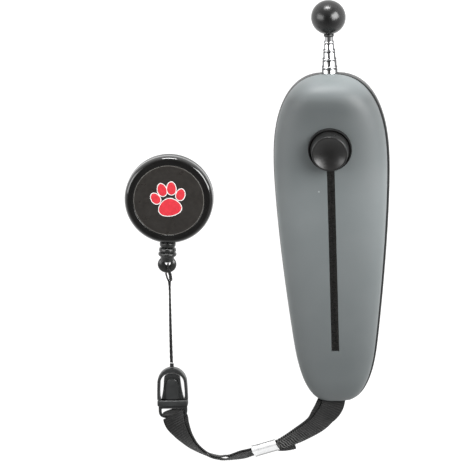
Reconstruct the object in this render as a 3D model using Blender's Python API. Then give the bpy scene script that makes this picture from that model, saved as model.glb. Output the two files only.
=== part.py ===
"""Telescopic target stick with a clicker button, a webbing strap, a small buckle and a belt reel.

The set lies on its back on the ground plane: +X is to the right, +Y is towards the stick's tip
and +Z is up. Every length in this file is in millimetres, and add() turns it into metres.
"""

from math import atan2, cos, pi, radians, sin, tan

import bmesh
import bpy
from mathutils import Matrix, Vector

MM = 0.001
GAP = 0.15  # between pieces that touch or slide on each other

# Handle: distances along it are measured from the nose, d
HANDLE_X, HANDLE_NOSE_Y, NOSE_Z = 30.4, 52.1, 13.9
HANDLE_TILT = radians(2.5)  # the parting plane against the ground
HANDLE_LENGTH, HALF_WIDTH, WALL = 134.5, 23.05, 1.8
NOSE_REACH, TAIL_REACH, TAPER = 37.2, 27.0, 9.8
EDGE_REACH = 11.0  # how far the nose and the tail round off in height
FACE_SLOPE = radians(4.0)  # the front face against the parting plane
FRONT_AT_NOSE = 14.95
GROUND_SINK = 0.8  # depth of the form that the flat rest face cuts off
STICK_DROP = -3.0  # the stick's axis below the parting plane
SCREWS = ((-14.5, 26), (14.5, 26), (-10.5, 98), (10.5, 98))
CRADLES = (14.0, 60.0, 104.0)
STRAP_MOUTH = (-6.7, 4.9, 4.6)  # left side, right side and height of the opening in the tail
STRAP_PIN_D, STRAP_PIN_Z, STRAP_PIN_R, STRAP_PIN_HALF = 122.0, -0.2, 1.25, 13.0

# Slider and button, in a frame on the front face at the button's centre
BUTTON_D = 27.6
SLIDE_TRAVEL, SLOT_WIDTH, SLOT_UP = 80.0, 3.0, 4.4
SLOT_DOWN = SLOT_UP + SLIDE_TRAVEL
SKIRT_R, SKIRT_FLOOR, SKIRT_RIM = 8.7, 0.75, 1.8
BUTTON_R, BUTTON_TOP_R, BUTTON_LOW, BUTTON_TOP, DISH = 7.75, 7.1, 1.75, 7.0, 1.1
STEM_WIDTH, STEM_LENGTH, PIN_R = 2.4, 8.0, 0.6
SEAL_TOP, CARRIAGE_TOP, LEAF_TOP = -1.95, -2.75, -3.9

# Stick: outer radius, bore radius, top above the nose, lower end below it
SECTIONS = ((3.1, 2.9, 2.6, 108.0), (2.8, 2.5, 5.9, 105.0), (2.4, 2.05, 9.4, 103.0), (1.95, 1.75, 12.65, 100.0))
TIP_ROD = (1.65, 16.8, 97.0)
BALL_R, BALL_Y, BALL_FOOT = 6.85, 22.1, 15.6

# Reel chain: belt reel, pull tab, cord loop, buckle
CHAIN_X = -35.9  # the middle line of the knot and the buckle
REEL_X, REEL_Y, REEL_TURN = -34.8, 1.5, radians(-3.3)
CASE_R, CASE_LOW, CASE_SPLIT, CASE_TOP, CASE_WALL = 17.7, 3.5, 8.4, 11.7, 1.2
LABEL_R = 14.2
NOZZLE_Z, NOZZLE_R = 8.0, 3.2
CORD_R, LOOP_R = 0.4, 0.32
HOLE_X, HOLE_Y = 0.3, -26.2
KNOT_Y = -67.7
BUCKLE_TOP, COLLAR_TOP, COLLAR_LOW, LOOP_LOW, CROWN = -68.7, -81.9, -84.3, -89.4, 1.9

# Webbing
WEB_WIDTH, WEB_THICK = 9.6, 2.6  # both layers together
CRIMP_FROM, CRIMP_TO, CRIMP_Z, CRIMP_LEAN = (5.9, -100.4), (-3.8, -103.1), 5.35, 64.0


# ---- materials and objects ----

def material(name, colour, roughness, metallic=0.0):
    made = bpy.data.materials.get(name)
    if made is None:
        made = bpy.data.materials.new(name)
        made.use_nodes = True
        shader = made.node_tree.nodes["Principled BSDF"]
        shader.inputs["Base Color"].default_value = (*colour, 1.0)
        shader.inputs["Roughness"].default_value = roughness
        shader.inputs["Metallic"].default_value = metallic
    return made


LOOKS = {
    "soft_grey": ((0.23, 0.25, 0.26), 0.45, 0.0),
    "black_satin": ((0.02, 0.02, 0.021), 0.4, 0.0),
    "black_gloss": ((0.012, 0.012, 0.013), 0.15, 0.0),
    "black_felt": ((0.01, 0.01, 0.01), 0.95, 0.0),
    "chrome": ((0.8, 0.8, 0.82), 0.12, 1.0),
    "spring_steel": ((0.55, 0.56, 0.58), 0.3, 1.0),
    "aluminium": ((0.7, 0.71, 0.73), 0.3, 1.0),
    "webbing": ((0.013, 0.013, 0.014), 0.85, 0.0),
    "white_plastic": ((0.75, 0.75, 0.73), 0.4, 0.0),
}


def frame_empty(name, place, tilt, parent=None):
    empty = bpy.data.objects.new(name, None)
    bpy.context.scene.collection.objects.link(empty)
    empty.location = Vector(place) * MM
    empty.rotation_euler = (tilt, 0.0, 0.0)
    empty.parent = parent
    return empty


def add(name, bm, look, parent=None, place=(0, 0, 0), turn=(0, 0, 0)):
    """Makes the object `name` from a bmesh in millimetres, and frees the bmesh."""
    bmesh.ops.scale(bm, vec=(MM, MM, MM), verts=bm.verts)
    bmesh.ops.recalc_face_normals(bm, faces=bm.faces)
    mesh = bpy.data.meshes.new(name)
    bm.to_mesh(mesh)
    bm.free()
    mesh.shade_smooth()
    mesh.set_sharp_from_angle(angle=radians(35))
    mesh.materials.append(material(look, *LOOKS[look]))
    made = bpy.data.objects.new(name, mesh)
    bpy.context.scene.collection.objects.link(made)
    made.location = Vector(place) * MM
    made.rotation_euler = turn
    made.parent = parent
    return made


def cutter(name, bm, parent=None, place=(0, 0, 0), turn=(0, 0, 0)):
    made = add(name, bm, "black_satin", parent, place, turn)
    made.hide_render = True
    made.display_type = "WIRE"
    return made


def combine(target, operation, *others):
    for other in others:
        step = target.modifiers.new(f"{operation.lower()} {other.name}", "BOOLEAN")
        step.operation = operation
        step.solver = "EXACT"
        step.object = other
    return target


# ---- shapes ----

def box(low, high, bevel=0.0):
    bm = bmesh.new()
    bmesh.ops.create_cube(bm, size=1.0)
    low, high = Vector(low), Vector(high)
    bmesh.ops.scale(bm, vec=high - low, verts=bm.verts)
    bmesh.ops.translate(bm, vec=(low + high) / 2, verts=bm.verts)
    if bevel:
        bmesh.ops.bevel(bm, geom=bm.edges[:], offset=bevel, segments=2, profile=0.5, affect="EDGES")
    return bm


def turned(profile, sides=32, along_y=False):
    """A solid of revolution about Z: (radius, height) points from the top down its outer side.

    A profile that starts and ends on the axis is closed by it; any other is a ring.
    """
    bm = bmesh.new()
    on_axis = profile[0][0] == 0 and profile[-1][0] == 0
    rings = []
    for radius, height in profile:
        if radius == 0:
            rings.append([bm.verts.new((0, 0, height))])
        else:
            angles = (2 * pi * k / sides for k in range(sides))
            rings.append([bm.verts.new((radius * cos(a), radius * sin(a), height)) for a in angles])
    pairs = list(zip(rings, rings[1:]))
    if not on_axis:
        pairs.append((rings[-1], rings[0]))
    for upper, lower in pairs:
        for k in range(sides):
            after = (k + 1) % sides
            if len(upper) == 1:
                bm.faces.new((upper[0], lower[k], lower[after]))
            elif len(lower) == 1:
                bm.faces.new((upper[k], lower[0], upper[after]))
            else:
                bm.faces.new((upper[k], lower[k], lower[after], upper[after]))
    if along_y:
        bmesh.ops.rotate(bm, matrix=Matrix.Rotation(-pi / 2, 3, "X"), verts=bm.verts)
    return bm


def rod(radius, low, high, sides=24, along_y=False):
    return turned(((0, high), (radius, high), (radius, low), (0, low)), sides, along_y)


def pipe(outer, inner, low, high, sides=24, along_y=False):
    return turned(((inner, high), (outer, high), (outer, low), (inner, low)), sides, along_y)


def loft(rings):
    """Joins rings of equally many points, and caps both ends."""
    bm = bmesh.new()
    made = [[bm.verts.new(p) for p in ring] for ring in rings]
    count = len(rings[0])
    for a, b in zip(made, made[1:]):
        for k in range(count):
            bm.faces.new((a[k], a[(k + 1) % count], b[(k + 1) % count], b[k]))
    bm.faces.new(reversed(made[0]))
    bm.faces.new(made[-1])
    return bm


def slab(outline, low, high, bevel=0.0):
    """A flat outline in XY, extruded from one height to another."""
    bm = loft([[(x, y, z) for x, y in outline] for z in (low, high)])
    if bevel:
        rims = [e for e in bm.edges if abs(e.verts[0].co.z - e.verts[1].co.z) < 1e-6]
        bmesh.ops.bevel(bm, geom=rims, offset=bevel, segments=1, profile=0.5, affect="EDGES")
    return bm


def smooth_route(points, per_span):
    """Catmull-Rom points through the given ones, however many values each holds."""
    ends = [[2 * a - b for a, b in zip(points[0], points[1])]]
    ends += [*points, [2 * a - b for a, b in zip(points[-1], points[-2])]]
    route = []
    for p0, p1, p2, p3 in zip(ends, ends[1:], ends[2:], ends[3:]):
        for k in range(per_span):
            t = k / per_span
            route.append(tuple(
                0.5 * (2 * b + (c - a) * t + (2 * a - 5 * b + 4 * c - d) * t**2 + (3 * b - a - 3 * c + d) * t**3)
                for a, b, c, d in zip(p0, p1, p2, p3)
            ))
    route.append(tuple(points[-1]))
    return route


def ribbon(points, width, thick, per_span=3):
    """Webbing along (x, y, z, lean) points: at lean 0 it lies flat, and at 90 it stands on its outer edge."""
    route = smooth_route(points, per_span)
    rings = []
    for k, (x, y, z, lean) in enumerate(route):
        before, after = route[max(k - 1, 0)], route[min(k + 1, len(route) - 1)]
        ahead = Vector(after[:3]) - Vector(before[:3])
        level = Vector((ahead.y, -ahead.x, 0)).normalized()  # the inner side of the strap's bend
        across = level * cos(radians(lean)) + Vector((0, 0, sin(radians(lean))))
        up = across.cross(ahead.normalized()).normalized()
        middle, half, deep = Vector((x, y, z)), across * width / 2, up * thick / 2
        rings.append([middle + half + deep, middle - half + deep, middle - half - deep, middle + half - deep])
    return loft(rings)


# ---- handle ----

def rounding(along, reach, power):
    """From 0 at an end to 1 where its rounding stops."""
    left = max(0.0, 1 - along / reach)
    return max(0.0, 1 - left**power) ** (1 / power)


def half_width(d, inset):
    taper = TAPER * max(0.0, (d - NOSE_REACH) / (HANDLE_LENGTH - NOSE_REACH)) ** 1.5
    nose = rounding(d - inset, NOSE_REACH - inset, 2.5)
    return (HALF_WIDTH - taper - inset) * nose * rounding(HANDLE_LENGTH - inset - d, TAIL_REACH - inset, 3.0)


def edge_rounding(d, inset):
    reach = EDGE_REACH - inset
    return rounding(d - inset, reach, 2.2) * rounding(HANDLE_LENGTH - inset - d, reach, 2.2)


def face_height(d):
    return FRONT_AT_NOSE - d * tan(FACE_SLOPE)


def back_depth(d):
    return (NOSE_Z - d * sin(HANDLE_TILT)) / cos(HANDLE_TILT)


def section(d, inset, points=36):
    front = (face_height(d) - inset) * edge_rounding(d, inset)
    back = (back_depth(d) + GROUND_SINK * (inset == 0) - inset) * edge_rounding(d, inset)
    ring = []
    for k in range(points):
        angle = 2 * pi * k / points
        height, power = (front, 2 / 3.0) if angle <= pi else (back, 2 / 2.6)
        x = half_width(d, inset) * abs(cos(angle)) ** power * (1 if cos(angle) > 0 else -1)
        z = height * abs(sin(angle)) ** power * (1 if sin(angle) > 0 else -1)
        ring.append((x, -d, z))
    return ring


def handle_form(inset):
    reach, steps = EDGE_REACH - inset, 7
    ends = [reach * (1 - cos(pi / 2 * k / steps)) + 0.12 for k in range(steps + 1)]
    middle = [19.0, 24.0, 30.0, 37.0, 48.0, 60.0, 72.0, 84.0, 95.0, 104.0, 110.0, 115.5]
    stations = [inset + e for e in ends] + middle + [HANDLE_LENGTH - inset - e for e in reversed(ends)]
    return loft([section(d, inset) for d in stations])


def hollow(frame):
    """The space inside the shells, with the screw bosses and the stick's cradles left standing."""
    inside = cutter("hollow_form", handle_form(WALL), frame)
    for k, (x, d) in enumerate(SCREWS):
        combine(inside, "DIFFERENCE", cutter(f"boss_{k}", rod(2.8, -20, 20, 16), frame, (x, -d, 0)))
    for k, d in enumerate(CRADLES):
        rib = box((-6.0, -d - 0.8, -20), (6.0, -d + 0.8, STICK_DROP))
        combine(inside, "DIFFERENCE", cutter(f"cradle_{k}", rib, frame))
    return inside


def screw_holes(frame):
    """One cutter for each screw: the shank's hole, with a counterbore from the back."""
    holes = []
    for k, (x, d) in enumerate(SCREWS):
        step = 3.4 - back_depth(d)
        profile = ((0, 5.2), (1.15, 5.2), (1.15, step), (2.4, step), (2.4, -20), (0, -20))
        holes.append(cutter(f"screw_hole_{k}", turned(profile, 16), frame, (x, -d, 0)))
    return holes


def shells(frame, face):
    inside, holes = hollow(frame), screw_holes(frame)
    stick_way = cutter("stick_way", rod(3.75, -118.0, -2.0, 24, True), frame, (0, 0, STICK_DROP))
    nose_hole = cutter("nose_hole", rod(4.3, -9.0, 2.0, 24, True), frame, (0, 0, STICK_DROP))
    left, right, high = STRAP_MOUTH
    mouth = cutter("strap_mouth", box((left, -140, -high / 2), (right, -126, high / 2)), frame)
    slot = box((-SLOT_WIDTH / 2, -SLOT_DOWN, -4), (SLOT_WIDTH / 2, SLOT_UP, 4))
    slot_cut = cutter("slot_cut", slot, face)
    seat = rod(STRAP_PIN_R + GAP, -STRAP_PIN_HALF - GAP, STRAP_PIN_HALF + GAP, 16)
    seats = cutter("pin_seats", seat, frame, (0, -STRAP_PIN_D, STRAP_PIN_Z), (0, pi / 2, 0))
    below = cutter("below_parting", box((-40, -150, -40), (40, 20, GAP / 2)), frame)
    above = cutter("above_parting", box((-40, -150, -GAP / 2), (40, 20, 40)), frame)
    ground = cutter("ground", box((-80, -150, -20), (80, 150, 0)))
    front = add("front_shell", handle_form(0), "soft_grey", frame)
    combine(front, "DIFFERENCE", below, inside, slot_cut, nose_hole, stick_way, mouth, seats, *holes)
    rear = add("rear_shell", handle_form(0), "black_satin", frame)
    combine(rear, "DIFFERENCE", above, inside, nose_hole, stick_way, mouth, seats, *holes, ground)


def shell_screws(frame):
    for k, (x, d) in enumerate(SCREWS):
        step = 3.4 - back_depth(d) - GAP
        profile = (
            (0, 4.8), (0.6, 4.8), (1.0, 4.0), (1.0, step), (2.1, step), (2.1, step - 1.3),
            (1.6, step - 1.6), (0, step - 1.6),
        )
        add(f"shell_screw_{k + 1}", turned(profile, 16), "spring_steel", frame, (x, -d, 0))


def strap_anchor(frame):
    pin = rod(STRAP_PIN_R, -STRAP_PIN_HALF, STRAP_PIN_HALF, 16)
    add("strap_pin", pin, "spring_steel", frame, (0, -STRAP_PIN_D, STRAP_PIN_Z), (0, pi / 2, 0))


# ---- slider, button and click leaf ----

def slider(face):
    seal = add("track_seal", box((-4.2, -SLOT_DOWN - 2, SEAL_TOP - 0.5), (4.2, SLOT_UP + 2, SEAL_TOP)),
               "black_felt", face)
    slit = box((-1.35, -SLOT_DOWN, SEAL_TOP - 2), (1.35, SLOT_UP, 1))
    combine(seal, "DIFFERENCE", cutter("seal_slit", slit, face))
    pin_way = cutter("pin_way", rod(0.75, -8, 8, 12), face)

    rim = (
        (0, SKIRT_FLOOR), (BUTTON_R + 0.3, SKIRT_FLOOR), (BUTTON_R + 0.3, SKIRT_RIM), (SKIRT_R - 0.15, SKIRT_RIM),
        (SKIRT_R, SKIRT_RIM - 0.2), (SKIRT_R, 0.25), (0, 0.25),
    )
    skirt = add("slider_skirt", turned(rim), "black_satin", face)
    stem = box((-STEM_WIDTH / 2, -STEM_LENGTH / 2, CARRIAGE_TOP - 0.9), (STEM_WIDTH / 2, STEM_LENGTH / 2, 0.5))
    combine(skirt, "UNION", cutter("skirt_stem", stem, face))
    combine(skirt, "DIFFERENCE", pin_way)

    plate = box((-6.0, -10.0, CARRIAGE_TOP - 1.0), (6.0, 8.0, CARRIAGE_TOP))
    carriage = add("slider_carriage", plate, "white_plastic", face)
    room = box((-STEM_WIDTH / 2 - GAP, -STEM_LENGTH / 2 - GAP, CARRIAGE_TOP - 3),
               (STEM_WIDTH / 2 + GAP, STEM_LENGTH / 2 + GAP, CARRIAGE_TOP + 3))
    rivet_way = cutter("rivet_way", rod(0.8, -8, 8, 12), face, (0, -8.4, 0))
    combine(carriage, "DIFFERENCE", cutter("stem_room", room, face), rivet_way)

    leaf = add("click_leaf", box((-3.5, -9.6, LEAF_TOP - 0.3), (3.5, 3.5, LEAF_TOP)), "spring_steel", face)
    combine(leaf, "DIFFERENCE", rivet_way)
    rivet = (
        (0, CARRIAGE_TOP - 0.05), (0.65, CARRIAGE_TOP - 0.05), (0.65, LEAF_TOP - 0.45), (1.4, LEAF_TOP - 0.45),
        (1.2, LEAF_TOP - 0.85), (0, LEAF_TOP - 0.85),
    )
    add("leaf_rivet", turned(rivet, 12), "aluminium", face, (0, -8.4, 0))

    dish = [(BUTTON_TOP_R * 0.86 * k / 5, BUTTON_TOP - DISH * (1 - (k / 5) ** 2)) for k in range(6)]
    cap = dish + [
        (BUTTON_TOP_R - 0.3, BUTTON_TOP - 0.1), (BUTTON_TOP_R, BUTTON_TOP - 0.5), (BUTTON_R - 0.1, BUTTON_LOW + 1.0),
        (BUTTON_R, BUTTON_LOW), (PIN_R, BUTTON_LOW), (PIN_R, LEAF_TOP + 0.1), (0, LEAF_TOP + 0.1),
    ]
    add("thumb_button", turned(cap), "black_satin", face)


# ---- stick ----

def stick(axis):
    add("stick_base_tube", pipe(3.55, 3.25, -112.0, -10.2, 24, True), "chrome", axis)
    bush = ((3.25, -0.2), (4.1, -0.2), (4.1, -8.6), (5.2, -8.6), (5.2, -9.8), (3.25, -9.8))
    add("nose_bush", turned(bush, 24, True), "black_satin", axis)
    plug = ((0, -108.6), (3.1, -108.6), (3.1, -112.3), (3.6, -112.3), (3.6, -114.0), (0, -114.0))
    add("tube_end_plug", turned(plug, 24, True), "black_satin", axis)
    for k, (outer, bore, top, low) in enumerate(SECTIONS):
        add(f"stick_section_{k + 1}", pipe(outer, bore, -low, top, 24, True), "chrome", axis)
    radius, top, low = TIP_ROD
    add("stick_tip_rod", rod(radius, -low, top, 24, True), "chrome", axis)

    arc = [(BALL_R * sin(a), BALL_Y + BALL_R * cos(a)) for a in (pi * k / 16 for k in range(14))]
    ball = [(0, arc[0][1]), *arc[1:], (2.3, BALL_FOOT), (1.8, BALL_FOOT), (1.8, BALL_FOOT + 1.5), (0, BALL_FOOT + 1.5)]
    add("tip_ball", turned(ball, 28, True), "black_gloss", axis)
    top = BALL_FOOT - 0.2
    collar = ((1.8, top), (2.3, top), (2.45, top - 0.8), (2.1, top - 1.2), (1.8, top - 1.2))
    add("tip_collar", turned(collar, 24, True), "black_satin", axis)


# ---- belt reel ----

def reel(spot):
    nozzle_way = cutter("nozzle_way", rod(2.15, -20.0, -12.0, 20, True), spot, (0, 0, NOZZLE_Z))
    front = (
        (0, 11.2), (LABEL_R, 11.2), (LABEL_R, CASE_TOP), (16.2, CASE_TOP), (16.9, 11.4), (17.5, 10.6),
        (CASE_R, 9.5), (CASE_R, CASE_SPLIT + 0.1), (16.4, CASE_SPLIT + 0.1), (16.4, 10.1), (15.8, 10.5), (0, 10.5),
    )
    cover = add("reel_case_front", turned(front, 40), "black_gloss", spot)
    back = (
        (1.35, 4.6), (CASE_R - CASE_WALL, 4.6), (CASE_R - CASE_WALL, CASE_SPLIT - 0.1), (CASE_R, CASE_SPLIT - 0.1),
        (CASE_R, 4.6), (16.6, CASE_LOW), (1.35, CASE_LOW),
    )
    cup = add("reel_case_back", turned(back, 40), "black_gloss", spot)
    combine(cover, "DIFFERENCE", nozzle_way)
    combine(cup, "DIFFERENCE", nozzle_way)
    add("reel_label", rod(LABEL_R - 0.15, 11.32, 11.62, 40), "black_satin", spot)

    spool = (
        (2.2, 10.2), (14.3, 10.2), (14.3, 9.6), (10.4, 9.6), (10.4, 5.6), (14.3, 5.6), (14.3, 5.0), (9.6, 5.0),
        (9.6, 9.5), (2.2, 9.5),
    )
    add("reel_spool", turned(spool, 32), "white_plastic", spot)
    add("wound_cord", pipe(12.5, 10.55, 5.75, 9.45, 32), "webbing", spot)
    axle = ((0, 10.3), (2.0, 10.3), (2.0, 4.75), (1.35, 4.75), (1.35, 8.6), (0, 8.6))
    add("reel_axle", turned(axle, 20), "white_plastic", spot)
    mainspring(spot)

    nozzle = (
        (0.9, -15.1), (2.35, -15.1), (2.35, -16.2), (2.0, -16.2), (2.0, -17.95), (NOZZLE_R, -17.95),
        (NOZZLE_R, -19.1), (2.7, -19.7), (0.9, -19.7),
    )
    add("reel_nozzle", turned(nozzle, 24, True), "black_satin", spot, (0, 0, NOZZLE_Z))
    belt_clip(spot)


def mainspring(spot):
    """A coiled steel strip between the axle and the spool's drum."""
    turns, steps, strip = 5, 18, 0.22
    rings = []
    for k in range(turns * steps + 1):
        angle = 2 * pi * k / steps
        radius = 2.45 + 6.7 * k / (turns * steps)
        out = Vector((cos(angle), sin(angle), 0))
        near, far = out * (radius - strip / 2), out * (radius + strip / 2)
        rings.append([near + Vector((0, 0, z)) for z in (5.2, 9.2)] + [far + Vector((0, 0, z)) for z in (9.2, 5.2)])
    add("reel_mainspring", loft(rings), "spring_steel", spot)


def belt_clip(spot):
    """A steel strip folded back under itself, riveted to the reel's back."""
    steel, low, high, fold_y = 0.8, 0.4, 2.8, 12.4
    bend = (high - low) / 2
    arc = [(fold_y + bend * sin(a), low + bend + bend * cos(a)) for a in (pi * k / 6 for k in range(7))]
    middle = [(-7.0, high), *arc, (-8.0, low), (-10.4, low + 0.5), (-12.4, low + 0.2 + 1.2)]
    rings = []
    for k, (y, z) in enumerate(middle):
        before, after = middle[max(k - 1, 0)], middle[min(k + 1, len(middle) - 1)]
        slope = atan2(after[1] - before[1], after[0] - before[0])
        off = Vector((0, -sin(slope), cos(slope))) * steel / 2
        at = Vector((0, y, z))
        rings.append([at + Vector((x, 0, 0)) + off * s for x, s in ((-5.5, 1), (5.5, 1), (5.5, -1), (-5.5, -1))])
    clip = add("belt_clip", loft(rings), "spring_steel", spot)
    combine(clip, "DIFFERENCE", cutter("clip_hole", rod(1.35, 2.0, 3.4, 16), spot))
    rivet = ((0, 8.3), (1.2, 8.3), (1.2, 2.25), (2.3, 2.25), (2.0, 1.65), (0, 1.65))
    add("clip_rivet", turned(rivet, 16), "spring_steel", spot)


# ---- pull tab, cord loop and buckle ----

def pull_tab(spot):
    stack = (
        (0, -20.0), (3.2, -20.0), (3.5, -20.3), (3.5, -21.2), (2.9, -21.6), (3.6, -22.0), (3.6, -23.1),
        (2.6, -23.7), (2.6, -25.6), (0, -25.6),
    )
    tab = add("pull_tab", turned(stack, 24, True), "black_satin", spot, (0, 0, NOZZLE_Z))
    ring = rod(1.0, -1.5, 1.5, 24)
    bmesh.ops.scale(ring, vec=(3.75, 3.05, 1.0), verts=ring.verts)
    eye = cutter("eye_form", ring, spot, (0, -27.1, NOZZLE_Z))
    way = cutter("eye_way", rod(1.15, -4, 4, 16), spot, (HOLE_X, HOLE_Y, NOZZLE_Z))
    bore = cutter("cord_bore", rod(CORD_R + GAP, -22.0, -18.0, 12, True), spot, (0, 0, NOZZLE_Z))
    combine(tab, "UNION", eye)
    combine(tab, "DIFFERENCE", way, bore)
    add("reel_cord_lead", rod(CORD_R, -21.8, -13.2, 8, True), "webbing", spot, (0, 0, NOZZLE_Z))


# The loop leaves the knot, passes through the tab's eye and comes back to the knot.
LOOP_ROUTE = (
    (-35.7, -66.65, 2.85), (-35.75, -60.0, 2.95), (-35.75, -52.0, 3.6), (-35.7, -44.0, 4.75), (-35.65, -38.0, 5.7),
    (-35.5, -33.4, 6.3), (-35.1, -31.6, 7.0), (-34.85, -30.2, 8.1), (-34.85, -29.2, 9.3), (-35.2, -27.8, 10.15),
    (-35.75, -26.3, 10.15), (-35.88, -25.6, 9.95), (-35.95, -25.25, 9.2), (-35.95, -25.15, 8.0),
    (-36.0, -25.25, 6.8), (-36.15, -25.6, 6.05), (-36.6, -27.4, 5.75), (-37.0, -29.4, 5.4), (-36.75, -31.0, 5.2),
    (-36.15, -32.6, 5.2), (-35.9, -34.4, 5.15), (-35.85, -38.0, 4.75), (-36.0, -44.0, 3.9), (-36.2, -52.0, 2.8),
    (-36.3, -60.0, 2.2), (-36.3, -66.65, 2.4),
)


def cord_loop():
    route = smooth_route(LOOP_ROUTE, 3)
    curve = bpy.data.curves.new("loop_cord", "CURVE")
    curve.dimensions = "3D"
    curve.bevel_depth = LOOP_R * MM
    curve.bevel_resolution = 2
    curve.use_fill_caps = True
    spline = curve.splines.new("POLY")
    spline.points.add(len(route) - 1)
    for point, at in zip(spline.points, route):
        point.co = (*(Vector(at) * MM), 1.0)
    curve.materials.append(material("webbing", *LOOKS["webbing"]))
    made = bpy.data.objects.new("loop_cord", curve)
    bpy.context.scene.collection.objects.link(made)
    ball = [(1.0 * sin(a), 0.8 * cos(a)) for a in (pi * k / 8 for k in range(9))]
    ball[0], ball[-1] = (0, 0.8), (0, -0.8)
    add("cord_knot", turned(ball, 16, True), "webbing", None, (CHAIN_X, KNOT_Y, 2.6))


def arch(half, shoulder, top, steps=8):
    """An outline from the right foot's top, over a half ellipse, to the left one."""
    angles = [pi * k / (2 * steps) for k in range(2 * steps + 1)]
    return [(half * cos(a), shoulder + (top - shoulder) * sin(a)) for a in angles]


def mirrored(half):
    """An outline from its right half, whose last point lies on the middle line."""
    return half + [(-x, y) for x, y in reversed(half[:-1])]


def buckle():
    shoulder, foot = -75.0, COLLAR_TOP + 0.3
    outer = [(6.2, foot), *arch(5.95, shoulder, BUCKLE_TOP), (-6.2, foot)]
    clip = add("buckle_clip", slab(outer, 0.5, 4.3, 0.35), "black_satin", None, (CHAIN_X, 0, 0))
    room = [(5.0, foot - 5), *arch(4.75, shoulder, BUCKLE_TOP - CROWN), (-5.0, foot - 5)]
    combine(clip, "DIFFERENCE", cutter("clip_room", slab(room, -2, 8), None, (CHAIN_X, 0, 0)))
    for side in (-1, 1):
        sides = sorted((side * 4.65, side * 5.45))
        prong = box((sides[0], foot - 1.8, 1.3), (sides[1], foot + 0.8, 3.5))
        combine(clip, "UNION", cutter(f"prong_{side + 1}", prong, None, (CHAIN_X, 0, 0)))

    half = [(4.5, foot), (4.0, foot + 2.2), (3.6, foot + 4.4), (3.3, -74.6), (3.1, -72.3), (2.4, -71.75),
            (1.3, -71.1), (0, -70.95)]
    blade = add("buckle_tongue", slab(mirrored(half), 1.3, 3.6, 0.3), "black_satin", None, (CHAIN_X, 0, 0))
    panel = mirrored([(2.55, foot + 0.15), (2.5, -75.0), (1.6, -73.4), (0, -72.9)])
    combine(blade, "UNION", cutter("tongue_panel", slab(panel, 3.0, 4.35, 0.3), None, (CHAIN_X, 0, 0)))

    collar = add("buckle_socket", box((-6.15, COLLAR_LOW, 0.0), (6.15, COLLAR_TOP, 4.8), 0.5), "black_satin",
                 None, (CHAIN_X, 0, 0))
    loop = box((-5.75, LOOP_LOW, 0.9), (5.75, COLLAR_LOW + 1.0, 3.9), 0.4)
    cavity = box((-5.65, COLLAR_TOP - 1.9, 1.0), (5.65, COLLAR_TOP + 1.0, 3.8))
    window = box((-4.6, LOOP_LOW + 1.1, -2.0), (4.6, COLLAR_LOW - 1.2, 8.0))
    combine(collar, "UNION", cutter("webbing_loop", loop, None, (CHAIN_X, 0, 0)))
    combine(collar, "DIFFERENCE", cutter("collar_cavity", cavity, None, (CHAIN_X, 0, 0)),
            cutter("webbing_window", window, None, (CHAIN_X, 0, 0)))


# ---- strap: (x, y, z, lean) ----

HANDLE_STRAP = (
    (29.5, -71.5, 8.3, 0), (29.6, -75.2, 8.15, 0), (29.5, -79.0, 8.05, 0), (28.95, -82.2, 7.85, 2),
    (27.4, -85.1, 7.7, 14), (24.8, -87.9, 7.5, 28), (21.4, -91.9, 6.9, 38), (14.2, -96.6, 6.0, 49),
    (8.4, -99.6, 5.55, 58), (6.35, -100.25, 5.4, 62),
)
BUCKLE_STRAP = (
    (-4.25, -103.2, 5.35, 66), (-8.1, -104.3, 5.3, 67), (-12.6, -105.3, 5.35, 74), (-17.2, -105.5, 5.4, 79),
    (-20.9, -104.6, 5.4, 78), (-24.5, -102.8, 5.3, 72), (-28.1, -100.1, 5.2, 63), (-31.1, -96.6, 4.8, 51),
    (-33.5, -92.8, 4.0, 34), (-34.7, -91.2, 3.3, 14), (-34.75, -90.3, 2.9, 7),
)


def strap(frame):
    loop = add("strap_handle_loop", ribbon(HANDLE_STRAP, WEB_WIDTH, WEB_THICK), "webbing")
    middle = HANDLE_STRAP[0][0] - HANDLE_X
    wrap = pipe(STRAP_PIN_R + GAP + 1.15, STRAP_PIN_R + GAP, middle - WEB_WIDTH / 2, middle + WEB_WIDTH / 2, 20)
    place, turn = (0, -STRAP_PIN_D, STRAP_PIN_Z), (0, pi / 2, 0)
    combine(loop, "UNION", cutter("pin_wrap", wrap, frame, place, turn))
    add("strap_buckle_loop", ribbon(BUCKLE_STRAP, WEB_WIDTH, WEB_THICK), "webbing")
    heading = atan2(CRIMP_FROM[1] - CRIMP_TO[1], CRIMP_FROM[0] - CRIMP_TO[0])
    long = (Vector(CRIMP_FROM) - Vector(CRIMP_TO)).length / 2
    half_wide, half_thick = WEB_WIDTH / 2 + 0.2, WEB_THICK / 2 + 0.4
    band = box((-long, -half_wide, -half_thick), (long, half_wide, half_thick), 0.35)
    centre = ((CRIMP_FROM[0] + CRIMP_TO[0]) / 2, (CRIMP_FROM[1] + CRIMP_TO[1]) / 2, CRIMP_Z + 0.25)
    add("strap_crimp", band, "aluminium", None, centre, (radians(CRIMP_LEAN), 0, heading))
    flap = box((-3.0, -0.9, -0.5), (3.0, 0.9, 0.5))
    add("strap_cut_end", flap, "webbing", None, (10.2, -103.0, 0.6), (0, 0, radians(17)))


def main():
    for old in list(bpy.data.objects):
        bpy.data.objects.remove(old, do_unlink=True)
    handle = frame_empty("handle_frame", (HANDLE_X, HANDLE_NOSE_Y, NOSE_Z), HANDLE_TILT)
    face = frame_empty("face_frame", (0, -BUTTON_D, face_height(BUTTON_D)), FACE_SLOPE, handle)
    axis = frame_empty("stick_axis", (0, 0, STICK_DROP), 0.0, handle)
    spot = frame_empty("reel_frame", (REEL_X, REEL_Y, 0), 0.0)
    spot.rotation_euler[2] = REEL_TURN
    shells(handle, face)
    shell_screws(handle)
    strap_anchor(handle)
    slider(face)
    stick(axis)
    reel(spot)
    pull_tab(spot)
    cord_loop()
    buckle()
    strap(handle)


main()
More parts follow.
